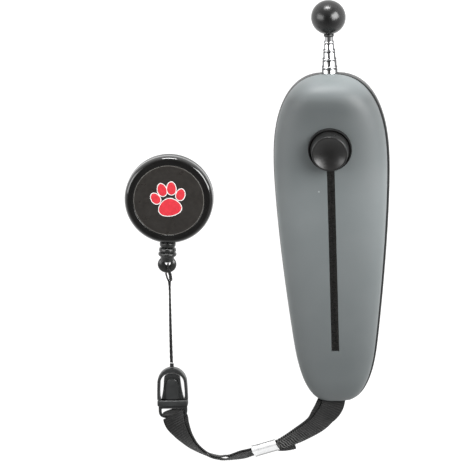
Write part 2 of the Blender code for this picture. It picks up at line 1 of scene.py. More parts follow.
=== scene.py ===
import random
from math import atan2, ceil, cos, pi, radians, sin, tan

import bmesh
import bpy
import numpy as np
from mathutils import Matrix, Vector


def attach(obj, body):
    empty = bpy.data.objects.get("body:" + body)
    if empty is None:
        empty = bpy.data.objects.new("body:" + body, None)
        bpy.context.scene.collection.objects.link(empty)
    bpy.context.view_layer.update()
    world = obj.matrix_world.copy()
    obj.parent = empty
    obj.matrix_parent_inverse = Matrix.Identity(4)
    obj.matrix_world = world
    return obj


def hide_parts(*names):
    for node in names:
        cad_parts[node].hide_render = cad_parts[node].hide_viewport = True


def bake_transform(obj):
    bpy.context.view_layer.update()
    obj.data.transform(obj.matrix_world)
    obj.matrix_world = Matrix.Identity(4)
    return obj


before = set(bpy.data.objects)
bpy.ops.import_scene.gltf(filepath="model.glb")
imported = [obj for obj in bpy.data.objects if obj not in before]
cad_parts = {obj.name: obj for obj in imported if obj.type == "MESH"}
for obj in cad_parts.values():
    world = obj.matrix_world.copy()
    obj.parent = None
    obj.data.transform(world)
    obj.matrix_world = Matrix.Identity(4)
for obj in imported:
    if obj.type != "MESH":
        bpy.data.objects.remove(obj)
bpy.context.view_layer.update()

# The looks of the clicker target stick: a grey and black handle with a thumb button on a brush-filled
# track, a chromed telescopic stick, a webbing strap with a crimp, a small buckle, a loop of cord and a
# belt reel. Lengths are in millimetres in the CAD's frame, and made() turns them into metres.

MM = 0.001

# ---- driving values, the same as the CAD's ----

HANDLE_X, HANDLE_NOSE_Y, NOSE_Z = 30.4, 52.1, 13.9
HANDLE_TILT, HANDLE_LENGTH, HALF_WIDTH, WALL = radians(2.5), 134.5, 23.05, 1.8
NOSE_REACH, TAIL_REACH, TAPER, EDGE_REACH = 37.2, 27.0, 9.8, 11.0
FACE_SLOPE, FRONT_AT_NOSE, GROUND_SINK, STICK_DROP = radians(4.0), 14.95, 0.8, -3.0
SCREWS = ((-14.5, 26), (14.5, 26), (-10.5, 98), (10.5, 98))
SEAT_HEIGHT, SHANK_R, HEAD_R = 3.4, 1.15, 2.4  # the screws' holes in the rear shell
STRAP_MOUTH = (-6.7, 4.9, 4.6)
BUTTON_D, SLOT_WIDTH, SLOT_UP, SLOT_DOWN = 27.6, 3.0, 4.4, 84.4
SKIRT_R, SKIRT_FLOOR, SKIRT_RIM = 8.7, 0.75, 1.8
BUTTON_R, BUTTON_TOP_R, BUTTON_LOW, BUTTON_TOP, DISH = 7.75, 7.1, 1.75, 7.0, 1.6
SECTIONS = ((3.1, 2.9, 2.6, 108.0), (2.8, 2.5, 5.9, 105.0), (2.4, 2.05, 9.4, 103.0),
            (1.95, 1.75, 12.65, 100.0))
TIP_ROD = (1.65, 16.8, 97.0)
BALL_R, BALL_Y, BALL_FOOT = 6.85, 22.1, 15.6
CHAIN_X = -35.9
REEL_X, REEL_Y, REEL_TURN = -34.8, 1.5, radians(-3.3)
CASE_R, CASE_LOW, CASE_SPLIT, CASE_TOP, LABEL_R = 17.7, 3.5, 8.4, 11.7, 14.2
LABEL_LINE_R = 13.95
NOZZLE_Z, NOZZLE_R, CORD_R, LOOP_R, HOLE = 8.0, 3.2, 0.4, 0.32, (0.3, -26.2)
KNOT_Y = -67.7
BUCKLE_TOP, COLLAR_TOP, COLLAR_LOW, LOOP_LOW, CROWN = -68.7, -81.9, -84.3, -89.4, 1.9
WEB_WIDTH = 9.6
CRIMP_FROM, CRIMP_TO, CRIMP_Z, CRIMP_LEAN = (5.9, -100.4), (-3.8, -103.1), 5.35, 64.0

HANDLE = Matrix.Translation((HANDLE_X, HANDLE_NOSE_Y, NOSE_Z)) @ Matrix.Rotation(HANDLE_TILT, 4, "X")
STICK = HANDLE @ Matrix.Translation((0, 0, STICK_DROP))
REEL = Matrix.Translation((REEL_X, REEL_Y, 0)) @ Matrix.Rotation(REEL_TURN, 4, "Z")
NOZZLE = REEL @ Matrix.Translation((0, 0, NOZZLE_Z))
CHAIN = Matrix.Translation((CHAIN_X, 0, 0))


# ---- camera ----

def camera():
    """A long lens a little towards the stick's tip and the handle's side of straight above."""
    tip, side, roll = radians(11.5), radians(3.0), radians(1.45)
    back = Vector((sin(side) * cos(tip), sin(tip), cos(tip) * cos(side)))
    right0 = Vector((cos(side), 0, -sin(side)))
    up0 = back.cross(right0)
    right, up = right0 * cos(roll) - up0 * sin(roll), right0 * sin(roll) + up0 * cos(roll)
    seen, distance = 186.0, 2500.0
    aim = Vector((-10.3, -14.3, 0))
    data = bpy.data.cameras.new("camera")
    data.lens = data.sensor_width * distance / seen
    data.clip_start, data.clip_end = 0.05, 20.0
    eye = placed("camera", data)
    turn = Matrix((right, up, back)).transposed().to_4x4()
    eye.matrix_world = Matrix.Translation((aim + back * distance) * MM) @ turn
    bpy.context.scene.camera = eye


# ---- making objects ----

def placed(name, data):
    """A new object in the scene."""
    thing = bpy.data.objects.new(name, data)
    bpy.context.scene.collection.objects.link(thing)
    return thing


def made(name, bm, look, body, place=None, smooth=35, replaces=(), slot=None):
    """The piece `name` from a bmesh in millimetres, riding on a body."""
    bmesh.ops.remove_doubles(bm, verts=bm.verts, dist=1e-4)
    if place is not None:
        bmesh.ops.transform(bm, matrix=place, verts=bm.verts)
    bmesh.ops.scale(bm, vec=(MM, MM, MM), verts=bm.verts)
    bmesh.ops.recalc_face_normals(bm, faces=bm.faces)
    mesh = bpy.data.meshes.new(name)
    bm.to_mesh(mesh)
    bm.free()
    mesh.shade_smooth()
    mesh.set_sharp_from_angle(angle=radians(smooth))
    mesh.materials.append(LOOKS[look])
    return settled(placed(name, mesh), body, slot, *replaces)


def settled(piece, body, slot, *replaces):
    """Has a piece ride on a body and stand for its CAD nodes; its slot is not used."""
    if body:
        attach(piece, body)
    if replaces:
        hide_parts(*replaces)
    return piece


def cut(piece, *cutters, operation="DIFFERENCE", smooth=35):
    """Applies exact booleans to a piece, and removes the cutters."""
    for other in cutters:
        step = piece.modifiers.new("cut", "BOOLEAN")
        step.operation, step.solver, step.object = operation, "EXACT", other
    bpy.context.view_layer.update()
    graph = bpy.context.evaluated_depsgraph_get()
    mesh = bpy.data.meshes.new_from_object(piece.evaluated_get(graph))
    old, piece.data = piece.data, mesh
    piece.modifiers.clear()
    mesh.name = piece.name
    bpy.data.meshes.remove(old)
    for other in cutters:
        bpy.data.objects.remove(other, do_unlink=True)
    mesh.shade_smooth()
    mesh.set_sharp_from_angle(angle=radians(smooth))
    return piece


def fused(piece, other):
    """Joins a tool onto a piece."""
    return cut(piece, other, operation="UNION")


def tool(bm, place=None):
    """A form for cut() or fused(), which use it up."""
    return made("tool", bm, "black_satin", None, place)


def rounded(piece, width, segments, angle):
    """Softens a piece's edges with an applied bevel."""
    step = piece.modifiers.new("soft edges", "BEVEL")
    step.width, step.segments, step.limit_method = width * MM, segments, "ANGLE"
    step.angle_limit, step.harden_normals = radians(angle), False
    return cut(piece)


# ---- shapes ----

def box(low, high, bevel=0.0, segments=3):
    """A box between two corners, its edges rounded by `bevel`."""
    bm = bmesh.new()
    bmesh.ops.create_cube(bm, size=1.0)
    low, high = Vector(low), Vector(high)
    bmesh.ops.scale(bm, vec=high - low, verts=bm.verts)
    bmesh.ops.translate(bm, vec=(low + high) / 2, verts=bm.verts)
    if bevel:
        bmesh.ops.bevel(bm, geom=bm.edges[:], offset=bevel, segments=segments, profile=0.5, affect="EDGES")
    return bm


def turned(profile, sides=96, along_y=False):
    """A solid of revolution about Z from (radius, height) points, closed by the axis or else a ring."""
    turns = [2 * pi * k / sides for k in range(sides)]
    rings = [[(radius * cos(a), radius * sin(a), height) for a in turns] for radius, height in profile]
    bm = loft(rings, closed=profile[0][0] > 0)
    if along_y:
        bmesh.ops.rotate(bm, matrix=Matrix.Rotation(-pi / 2, 3, "X"), verts=bm.verts)
    return bm


def soft(points, radius, steps=4, closed=False):
    """A 2D outline with each corner replaced by a curve that starts `radius` before it."""
    result = []
    count = len(points)
    for k, corner in enumerate(points):
        if not closed and k in (0, count - 1):
            result.append(corner)
            continue
        reach = radius[k] if isinstance(radius, (list, tuple)) else radius
        here = Vector(corner)
        before, after = Vector(points[k - 1]) - here, Vector(points[(k + 1) % count]) - here
        a = here + before.normalized() * min(reach, before.length * 0.49)
        b = here + after.normalized() * min(reach, after.length * 0.49)
        for step in range(steps + 1):
            t = step / steps
            result.append(tuple(a * (1 - t) ** 2 + here * 2 * t * (1 - t) + b * t**2))
    return result


def loft(rings, bm=None, closed=False):
    """Joins rings of equally many points, in a new bmesh or a given one: capped, or closed into a loop."""
    if bm is None:
        bm = bmesh.new()
    rows = [[bm.verts.new(p) for p in ring] for ring in rings]
    count = len(rows[0])
    for a, b in zip(rows, rows[1:] + rows[:closed]):
        for k in range(count):
            bm.faces.new((a[k], a[(k + 1) % count], b[(k + 1) % count], b[k]))
    if not closed:
        bm.faces.new(reversed(rows[0]))
        bm.faces.new(rows[-1])
    return bm


def slab(outline, low, high, edge=0.0):
    """A flat outline in XY between two heights, with rounded rims."""
    bm = loft([[(x, y, z) for x, y in outline] for z in (low, high)])
    if edge:
        rims = [e for e in bm.edges if abs(e.verts[0].co.z - e.verts[1].co.z) < 1e-6]
        bmesh.ops.bevel(bm, geom=rims, offset=edge, segments=3, profile=0.5, affect="EDGES")
    return bm


def catmull_rom(a, b, c, d, t):
    """The value at t between b and c of the curve through four values."""
    square, cube = 2 * a - 5 * b + 4 * c - d, 3 * b - a - 3 * c + d
    return 0.5 * (2 * b + (c - a) * t + square * t**2 + cube * t**3)


def smooth_route(points, per_span):
    """Catmull-Rom points through the given ones, however many values each holds."""
    ends = [[2 * a - b for a, b in zip(points[0], points[1])]]
    ends += [*points, [2 * a - b for a, b in zip(points[-1], points[-2])]]
    route = []
    for p0, p1, p2, p3 in zip(ends, ends[1:], ends[2:], ends[3:]):
        for k in range(per_span):
            route.append(tuple(catmull_rom(*four, k / per_span) for four in zip(p0, p1, p2, p3)))
    route.append(tuple(points[-1]))
    return route


def even_route(points, step):
    """The smooth route through the points, with a point every `step`, and each one's distance along it."""
    fine = np.array(smooth_route(points, 24))
    run = np.concatenate([[0], np.cumsum(np.linalg.norm(np.diff(fine[:, :3], axis=0), axis=1))])
    count = max(2, ceil(run[-1] / step))
    at = np.linspace(0, run[-1], count + 1)
    return np.stack([np.interp(at, run, column) for column in fine.T], 1), at


def frames_along(route):
    """A steady sideways and upward direction at each point of a route."""
    points = [Vector(p[:3]) for p in route]
    side, found = None, []
    for k, here in enumerate(points):
        ahead = (points[min(k + 1, len(points) - 1)] - points[max(k - 1, 0)]).normalized()
        if side is None:
            side = ahead.cross(Vector((0, 0, 1)))
            side = side if side.length > 0.1 else ahead.cross(Vector((1, 0, 0)))
        side = (side - ahead * side.dot(ahead)).normalized()
        found.append((here, side, side.cross(ahead).normalized()))
    return found


# ---- materials ----

def blank(name, colour, roughness, metallic=0.0, **constants):
    """A Principled material whose constant sockets are set directly."""
    look = bpy.data.materials.new(name)
    look.use_nodes = True
    shader = look.node_tree.nodes["Principled BSDF"]
    shader.inputs["Base Color"].default_value = (*colour, 1.0)
    shader.inputs["Roughness"].default_value = roughness
    shader.inputs["Metallic"].default_value = metallic
    for socket, value in constants.items():
        shader.inputs[socket.replace("_", " ")].default_value = value
    return look, look.node_tree, shader


def node(tree, kind, **settings):
    made_node = tree.nodes.new(kind)
    for key, value in settings.items():
        if key in made_node.inputs:
            made_node.inputs[key].default_value = value
        else:
            setattr(made_node, key, value)
    return made_node


def feed(tree, shader, colour, roughness):
    """Links the shader's colour and roughness."""
    tree.links.new(colour, shader.inputs["Base Color"])
    tree.links.new(roughness, shader.inputs["Roughness"])


def maths(tree, operation, *values):
    """A value worked out from outputs and plain numbers."""
    sum_node = node(tree, "ShaderNodeMath", operation=operation)
    for socket, value in zip(sum_node.inputs, values):
        if isinstance(value, float):
            socket.default_value = value
        else:
            tree.links.new(value, socket)
    return sum_node.outputs[0]


def part_of(tree, kind, output, axis):
    """One coordinate of an input node's vector."""
    split = node(tree, "ShaderNodeSeparateXYZ")
    tree.links.new(node(tree, kind).outputs[output], split.inputs[0])
    return split.outputs[axis]


def facing(tree, axis):
    """How far the surface faces along a world axis, from -1 to 1."""
    return part_of(tree, "ShaderNodeNewGeometry", "Normal", axis)


def place_on(tree, axis):
    """The object's own coordinate, in metres."""
    return part_of(tree, "ShaderNodeTexCoord", "Object", axis)


def mapped(tree, **settings):
    """The object's own coordinates, scaled and then moved."""
    mapping = node(tree, "ShaderNodeMapping", **settings)
    tree.links.new(node(tree, "ShaderNodeTexCoord").outputs["Object"], mapping.inputs["Vector"])
    return mapping.outputs["Vector"]


def noise(tree, scale, detail, stretch=(1, 1, 1)):
    """Noise over the object's own coordinates; scale is in features per metre."""
    cloud = node(tree, "ShaderNodeTexNoise", Scale=scale, Detail=detail)
    tree.links.new(mapped(tree, Scale=stretch), cloud.inputs["Vector"])
    return cloud.outputs["Fac"]


def spread(tree, value, low, high, from_low=0.3, from_high=0.7):
    """Maps a value to a range."""
    span = node(tree, "ShaderNodeMapRange")
    tree.links.new(value, span.inputs["Value"])
    for socket, number in zip(("From Min", "From Max", "To Min", "To Max"), (from_low, from_high, low, high)):
        span.inputs[socket].default_value = number
    return span.outputs["Result"]


def mixed(tree, value, first, second):
    """A colour between two, by a value or between a colour output and a colour."""
    mix = node(tree, "ShaderNodeMix", data_type="RGBA")
    tree.links.new(value, mix.inputs[0])
    for socket, colour in ((6, first), (7, second)):
        if isinstance(colour, tuple):
            mix.inputs[socket].default_value = (*colour, 1.0)
        else:
            tree.links.new(colour, mix.inputs[socket])
    return mix.outputs[2]


def mottled(tree, scale, detail, first, second):
    """A colour that wanders between two with the noise."""
    return mixed(tree, spread(tree, noise(tree, scale, detail), 0, 1), first, second)


def bumped(tree, shader, *heights):
    """Chains (height output, distance in mm, strength) bumps into the shader's normal."""
    last = None
    for height, distance, strength in heights:
        bump = node(tree, "ShaderNodeBump", Strength=strength, Distance=distance * MM)
        tree.links.new(height, bump.inputs["Height"])
        if last:
            tree.links.new(last, bump.inputs["Normal"])
        last = bump.outputs["Normal"]
    tree.links.new(last, shader.inputs["Normal"])


def specks(tree, scale, radius, seed):
    """1 in a few small separate spots, and 0 elsewhere."""
    cells = node(tree, "ShaderNodeTexVoronoi", Scale=scale)
    tree.links.new(mapped(tree, Location=(seed, seed * 0.7, seed * 0.3)), cells.inputs["Vector"])
    near = spread(tree, cells.outputs["Distance"], 1.0, 0.0, radius * 0.5, radius)
    pick = node(tree, "ShaderNodeSeparateColor")
    tree.links.new(cells.outputs["Color"], pick.inputs["Color"])
    return maths(tree, "MULTIPLY", near, spread(tree, pick.outputs["Red"], 0.0, 1.0, 0.8, 0.82))


# Painted light and shade along the handle: each entry scales the shell's colour between values given at two
# places on Y, in millimetres. It is darker at the tail and below the nose, and paler in the middle and at the
# nose's rim.
SHELL_PAINTED_LIGHT = ((0.82, 1.2, -65, -5), (1.0, 0.62, 4, 34), (1.0, 0.85, 34, 42), (1.0, 2.3, 43, 51))


def soft_grey():
    """Soft-touch painted plastic: satin grain, faint clouding, dust specks, and painted light and shade along
    the handle.
    """
    look, tree, shader = blank("soft_grey", (0.11, 0.12, 0.123), 0.4, Specular_IOR_Level=0.6)
    clouds = mottled(tree, 45, 3, (0.108, 0.122, 0.124), (0.124, 0.137, 0.139))
    light = mixed(tree, specks(tree, 95, 0.045, 3.1), clouds, (0.24, 0.25, 0.25))
    colour = mixed(tree, specks(tree, 70, 0.035, 8.7), light, (0.08, 0.085, 0.09))
    along = place_on(tree, "Y")
    # Painted light and shade: the colour is scaled along Y to stand in for the lamps' falloff and the nose's
    # highlight.
    for from_scale, to_scale, from_y, to_y in SHELL_PAINTED_LIGHT:
        painted_light = node(tree, "ShaderNodeVectorMath", operation="SCALE")
        tree.links.new(colour, painted_light.inputs[0])
        scale = spread(tree, along, from_scale, to_scale, from_y * MM, to_y * MM)
        tree.links.new(scale, painted_light.inputs["Scale"])
        colour = painted_light.outputs[0]
    feed(tree, shader, colour, spread(tree, noise(tree, 160, 5), 0.48, 0.57))
    bumped(tree, shader, (noise(tree, 2600, 3), 0.02, 0.3), (noise(tree, 240, 4), 0.03, 0.15))
    return look


def shaded(colour, scale):
    return tuple(c * scale for c in colour)


def moulded(name, colour, rough, spread_by=0.06, grain=0.015, **constants):
    """Moulded plastic: slight colour variation, uneven gloss and a fine spark-eroded grain."""
    look, tree, shader = blank(name, colour, rough, **constants)
    tint = mottled(tree, 130, 4, shaded(colour, 0.75), shaded(colour, 1.3))
    feed(tree, shader, tint, spread(tree, noise(tree, 320, 5), rough - spread_by, rough + spread_by))
    bumped(tree, shader, (noise(tree, 3200, 2), grain, 0.3), (noise(tree, 500, 3), grain * 2, 0.12))
    return look


def chrome(name="chrome", painted_dark_reflection=(0.1, 0.103, 0.107), bright=(0.8, 0.8, 0.81)):
    """Bright chrome plate, with a painted dark reflection down its sides and on its lips, where they face
    sideways or down.
    """
    look, tree, shader = blank(name, bright, 0.06, 1.0)
    lines = noise(tree, 900, 2, stretch=(0.02, 3.0, 0.02))
    # Painted reflection: where the surface turns from facing up, the colour darkens to stand in for a dark
    # surround seen at the tube's sides.
    clear_of_painted_reflection = spread(tree, facing(tree, "Z"), 0.0, 1.0, 0.56, 0.7)
    tint = mottled(tree, 200, 3, shaded(bright, 0.95), bright)
    feed(tree, shader, mixed(tree, clear_of_painted_reflection, painted_dark_reflection, tint), spread(tree, lines, 0.04, 0.1))
    bumped(tree, shader, (lines, 0.002, 0.2))
    return look


def steel():
    """Rolled spring steel with a grain along it, and painted shade making it a little darker where it faces
    down or sideways.
    """
    colour = (0.58, 0.59, 0.6)
    look, tree, shader = blank("steel", colour, 0.28, 1.0)
    grain = noise(tree, 1500, 3, stretch=(0.05, 3.0, 3.0))
    tint = mottled(tree, 260, 4, shaded(colour, 0.9), colour)
    # Painted shade: the colour drops to 0.9 of itself where the surface faces down or sideways.
    wear_and_painted_shade = mixed(tree, spread(tree, facing(tree, "Z"), 0.0, 1.0, 0.1, 0.36), shaded(colour, 0.9), tint)
    feed(tree, shader, wear_and_painted_shade, spread(tree, grain, 0.21, 0.37))
    bumped(tree, shader, (grain, 0.006, 0.3))
    return look


def aluminium():
    """The crimp's pressed aluminium, with a painted dark reflection on its lower half and a painted dark line
    along its far edge.
    """
    look, tree, shader = blank("aluminium", (0.88, 0.885, 0.89), 0.36, 0.55)
    grain = noise(tree, 1500, 3, stretch=(0.3, 0.1, 0.1))
    tint = mottled(tree, 260, 4, (0.8, 0.805, 0.81), (0.88, 0.885, 0.89))
    # Painted shade: dark where the surface faces +Y, drawing the far edge's dark line.
    edge = mixed(tree, spread(tree, facing(tree, "Y"), 0.0, 1.0, 0.55, 0.72), tint, (0.1, 0.102, 0.1))
    # Painted reflection: dark below 2.6 mm in height, clearing by 4.6 mm, standing in for the dark ground
    # reflected in the lower half.
    clear_of_painted_shade_below = spread(tree, place_on(tree, "Z"), 0.0, 1.0, 2.6 * MM, 4.6 * MM)
    feed(tree, shader, mixed(tree, clear_of_painted_shade_below, (0.13, 0.133, 0.13), edge), spread(tree, grain, 0.3, 0.45))
    bumped(tree, shader, (grain, 0.006, 0.3))
    return look


def woven(name, dark, light, ribs, plies):
    """Cloth drawn over a map of millimetres along (U) and across (V) the piece, with painted highlights on
    its puckers' crests.
    """
    look, tree, shader = blank(name, dark, 0.82, Sheen_Weight=0.12, Sheen_Roughness=0.4,
                               Specular_IOR_Level=0.35)
    where = node(tree, "ShaderNodeUVMap", uv_map="weave")
    heights = []
    for direction, per_unit in (("X", ribs), ("Y", plies)):
        wave = node(tree, "ShaderNodeTexWave", wave_type="BANDS", bands_direction=direction)
        wave.inputs["Scale"].default_value = per_unit / 3.2
        wave.inputs["Distortion"].default_value = 0.6
        wave.inputs["Detail Scale"].default_value = 3.0
        tree.links.new(where.outputs["UV"], wave.inputs["Vector"])
        heights.append(wave.outputs["Fac"])
    both = maths(tree, "MULTIPLY", *heights)
    wear_and_painted_shade = maths(tree, "MULTIPLY", both, spread(tree, noise(tree, 150, 4), 0.4, 1.0))
    crest = node(tree, "ShaderNodeAttribute", attribute_name="crest")
    painted_crest_highlight = spread(tree, crest.outputs["Fac"], 0.0, 1.0)
    # Painted highlight: the colour on the puckers' crests is up to 3.5 times lighter.
    cloth = mixed(tree, painted_crest_highlight, mixed(tree, wear_and_painted_shade, dark, light), shaded(light, 3.5))
    feed(tree, shader, cloth, spread(tree, noise(tree, 600, 3), 0.72, 0.92))
    bumped(tree, shader, (both, 0.12, 0.8), (noise(tree, 4000, 2), 0.03, 0.4))
    return look


def bristle():
    """Nylon bristles: near black, a little lighter on some."""
    look, tree, shader = blank("black_brush", (0.01, 0.01, 0.01), 0.55, Specular_IOR_Level=0.25)
    tint = mottled(tree, 1800, 2, (0.002, 0.002, 0.002), (0.02, 0.0195, 0.018))
    feed(tree, shader, tint, spread(tree, noise(tree, 900, 2), 0.4, 0.7))
    return look


def label_print():
    """The reel's printed disc under a clear dome, with one thin pale line near its rim painted as the
    highlight of the recess's edge.
    """
    look, tree, shader = blank("label", (0.016, 0.014, 0.013), 0.3, Coat_Weight=0.3, Coat_Roughness=0.18)
    flat = mapped(tree, Scale=(1, 1, 0), Location=(-REEL_X * MM, -REEL_Y * MM, 0))
    size = node(tree, "ShaderNodeVectorMath", operation="LENGTH")
    tree.links.new(flat, size.inputs[0])
    away = maths(tree, "ABSOLUTE", maths(tree, "SUBTRACT", size.outputs["Value"], LABEL_LINE_R * MM))
    # Painted highlight: a thin pale ring at LABEL_LINE_R, standing in for light caught on the recess's edge.
    line = spread(tree, away, 1.0, 0.0, 0.07 * MM, 0.15 * MM)
    ground = mottled(tree, 700, 3, (0.018, 0.016, 0.0145), (0.025, 0.0225, 0.02))
    print_and_painted_highlight = mixed(tree, line, ground, (0.12, 0.115, 0.105))
    feed(tree, shader, print_and_painted_highlight, spread(tree, noise(tree, 300, 4), 0.26, 0.38))
    bumped(tree, shader, (noise(tree, 900, 3), 0.01, 0.15))
    return look


def ink(name, colour):
    """Printing ink with a slight mottle."""
    look, tree, shader = blank(name, colour, 0.35, Coat_Weight=0.3, Coat_Roughness=0.2)
    tint = mottled(tree, 900, 3, shaded(colour, 0.85), colour)
    feed(tree, shader, tint, spread(tree, noise(tree, 500, 3), 0.3, 0.42))
    return look


def pale_floor():
    """A faintly clouded floor that glows white, as on a light table."""
    look, tree, shader = blank("floor", (0.16, 0.16, 0.16), 0.9, Emission_Color=(1, 1, 1, 1),
                               Emission_Strength=1.0, Specular_IOR_Level=0.1)
    tint = mottled(tree, 3, 2, (0.155, 0.155, 0.155), (0.165, 0.165, 0.165))
    tree.links.new(tint, shader.inputs["Base Color"])
    return look


LOOKS = {
    "soft_grey": soft_grey(),
    "black_satin": moulded("black_satin", (0.017, 0.0175, 0.0175), 0.42),
    "buckle_black": moulded("buckle_black", (0.021, 0.022, 0.022), 0.36, grain=0.02),
    "black_gloss": moulded("black_gloss", (0.009, 0.0088, 0.0085), 0.14, 0.03, 0.004,
                           Coat_Weight=0.6, Coat_Roughness=0.05, Specular_IOR_Level=0.5),
    "cup_black": moulded("cup_black", (0.012, 0.012, 0.012), 0.34, 0.04, 0.008, Specular_IOR_Level=0.35),
    "tab_gloss": moulded("tab_gloss", (0.014, 0.0145, 0.014), 0.26, 0.05, 0.008),
    "ball_gloss": moulded("ball_gloss", (0.005, 0.005, 0.005), 0.27, 0.03, 0.004, Specular_IOR_Level=0.6),
    "ring_black": moulded("ring_black", (0.005, 0.005, 0.005), 0.6, 0.05, 0.01, Specular_IOR_Level=0.2),
    "knob_black": moulded("knob_black", (0.0085, 0.0082, 0.008), 0.32, 0.05, 0.01),
    "white_plastic": moulded("white_plastic", (0.7, 0.7, 0.68), 0.4),
    "chrome": chrome(),
    # A darkened copy of the chrome for the tubes' grooves: painted shade.
    "chrome_painted_groove_shade": chrome("chrome_painted_groove_shade", (0.05, 0.05, 0.052), (0.14, 0.14, 0.145)),
    "steel": steel(),
    "aluminium": aluminium(),
    "webbing": woven("webbing", (0.007, 0.007, 0.007), (0.036, 0.036, 0.035), 1.1, 2.4),
    "cord": woven("cord", (0.006, 0.006, 0.006), (0.03, 0.03, 0.03), 2.0, 2.0),
    "brush": bristle(),
    "label": label_print(),
    "red_ink": ink("red_ink", (0.62, 0.035, 0.05)),
    "white_ink": ink("white_ink", (0.8, 0.78, 0.76)),
    "floor": pale_floor(),
}


# ---- handle ----

def rounding(along, reach, power):
    left = max(0.0, 1 - along / reach)
    return max(0.0, 1 - left**power) ** (1 / power)


def half_width(d, inset):
    taper = TAPER * max(0.0, (d - NOSE_REACH) / (HANDLE_LENGTH - NOSE_REACH)) ** 1.5
    nose = rounding(d - inset, NOSE_REACH - inset, 2.5)
    return (HALF_WIDTH - taper - inset) * nose * rounding(HANDLE_LENGTH - inset - d, TAIL_REACH - inset, 3.0)


def edge_rounding(d, inset):
    reach = EDGE_REACH - inset
    return rounding(d - inset, reach, 2.2) * rounding(HANDLE_LENGTH - inset - d, reach, 2.2)


def face_height(d):
    return FRONT_AT_NOSE - d * tan(FACE_SLOPE)


def back_depth(d):
    return (NOSE_Z - d * sin(HANDLE_TILT)) / cos(HANDLE_TILT)


FACE = (HANDLE @ Matrix.Translation((0, -BUTTON_D, face_height(BUTTON_D)))
        @ Matrix.Rotation(FACE_SLOPE, 4, "X"))
PARTING = 0.075  # half the gap between the shells
FRONT_POWER, REAR_POWER = 3.0, 3.2  # how square the shells' sections are
LEDGE, LEDGE_SIDE, LEDGE_SHIFT = 0.1, 0.977, -0.29  # how the front shell sits on the wider rear one
NOSE_WAY = ((0, 2.0), (3.3, 2.0), (3.3, -1.2), (4.3, -1.2), (4.3, -9.0), (0, -9.0))  # the stick's hole


def half_ring(wide, high, power, lip, count):
    """Half a rounded section from +x to -x at evenly spaced points, its lower corners turned in by `lip`."""
    angle = np.linspace(0, pi, 1201)
    x = wide * np.sign(np.cos(angle)) * np.abs(np.cos(angle)) ** (2 / power)
    z = high * np.abs(np.sin(angle)) ** (2 / power)
    lip = min(lip, wide * 0.3, high * 0.3)
    turn = np.clip(1 - z / lip, 0, 1)
    x -= np.sign(x) * lip * (1 - np.sqrt(1 - turn**2))
    run = np.concatenate([[0], np.cumsum(np.hypot(np.diff(x), np.diff(z)))])
    even = np.linspace(0, run[-1], count + 1)
    return list(zip(np.interp(even, run, x), np.interp(even, run, z)))


def stations(inset):
    """Distances from the nose, close together where the ends round off."""
    steps, run, tiny = 22, HANDLE_LENGTH - 2 * inset, 0.012
    nose = [(NOSE_REACH + 2) * (1 - cos(pi / 2 * k / steps)) for k in range(1, steps + 1)]
    tail = [run - (TAIL_REACH + 2) * (1 - cos(pi / 2 * k / steps)) for k in range(steps, 0, -1)]
    middle = np.linspace(nose[-1], tail[0], 22)[1:-1]
    return [inset + d for d in (tiny, *nose, *middle, *tail, run - tiny)]


def half_form(inset, side, step, lip, count=96):
    """The front (side 1) or rear (side -1) half of the handle's form, flat at the parting plane."""
    rings = []
    for d in stations(inset + step):
        wide = half_width(d, inset + step)
        if side > 0:
            high = (face_height(d) - inset) * edge_rounding(d, inset + step)
        else:
            high = (back_depth(d) + GROUND_SINK * (inset == 0) - inset) * edge_rounding(d, inset)
        ring = half_ring(wide, max(high, 0.02), FRONT_POWER if side > 0 else REAR_POWER, lip, count)
        rings.append([(x, -d, side * (z + PARTING)) for x, z in ring])
    return loft(rings)


def strap_mouth_tool():
    left, right, high = STRAP_MOUTH
    outline = soft([(left, -high / 2), (right, -high / 2), (right, high / 2), (left, high / 2)], 1.2, 5, True)
    return tool(loft([[(x, y, z) for x, z in outline] for y in (-140, -126)]), HANDLE)


def shells():
    """The grey front shell, set back a little from the black rear shell that shows beside it."""
    narrow = Matrix.Translation((LEDGE_SHIFT, 0, 0)) @ Matrix.Diagonal((LEDGE_SIDE, 1, 1, 1))
    front = made("grip_front", half_form(0, 1, LEDGE, 0.3), "soft_grey", None, HANDLE @ narrow)
    room = tool(half_form(WALL, 1, 0, 0.1, 40), HANDLE @ Matrix.Translation((0, 0, -0.3)))
    slot = [(-SLOT_WIDTH / 2, -SLOT_DOWN), (SLOT_WIDTH / 2, -SLOT_DOWN), (SLOT_WIDTH / 2, SLOT_UP),
            (-SLOT_WIDTH / 2, SLOT_UP)]
    flare = loft([[(x * wide, y, z) for x, y in slot]
                  for z, wide in ((-4, 1), (-0.08, 1), (0.0, 1.03), (0.6, 1.3))])
    nose = turned(NOSE_WAY, 64, True)
    cut(front, room, tool(flare, FACE), tool(nose, STICK), strap_mouth_tool(), smooth=32)
    settled(front, "handle", "soft_grey", "front_shell")

    rear = made("grip_rear", half_form(0, -1, 0, 0.25), "black_satin", None, HANDLE)
    room = tool(half_form(WALL, -1, 0, 0.1, 40), HANDLE @ Matrix.Translation((0, 0, 0.3)))
    nose = turned(NOSE_WAY, 64, True)
    holes = []
    for x, d in SCREWS:
        step = SEAT_HEIGHT - back_depth(d)
        profile = ((0, 2.0), (SHANK_R, 2.0), (SHANK_R, step), (HEAD_R, step), (HEAD_R, -20), (0, -20))
        holes.append(tool(turned(profile, 32), HANDLE @ Matrix.Translation((x, -d, 0))))
    ground = tool(box((-80, -150, -20), (80, 150, 0)))
    cut(rear, room, tool(nose, STICK), strap_mouth_tool(), *holes, ground, smooth=32)
    settled(rear, "handle", "black_satin", "rear_shell")


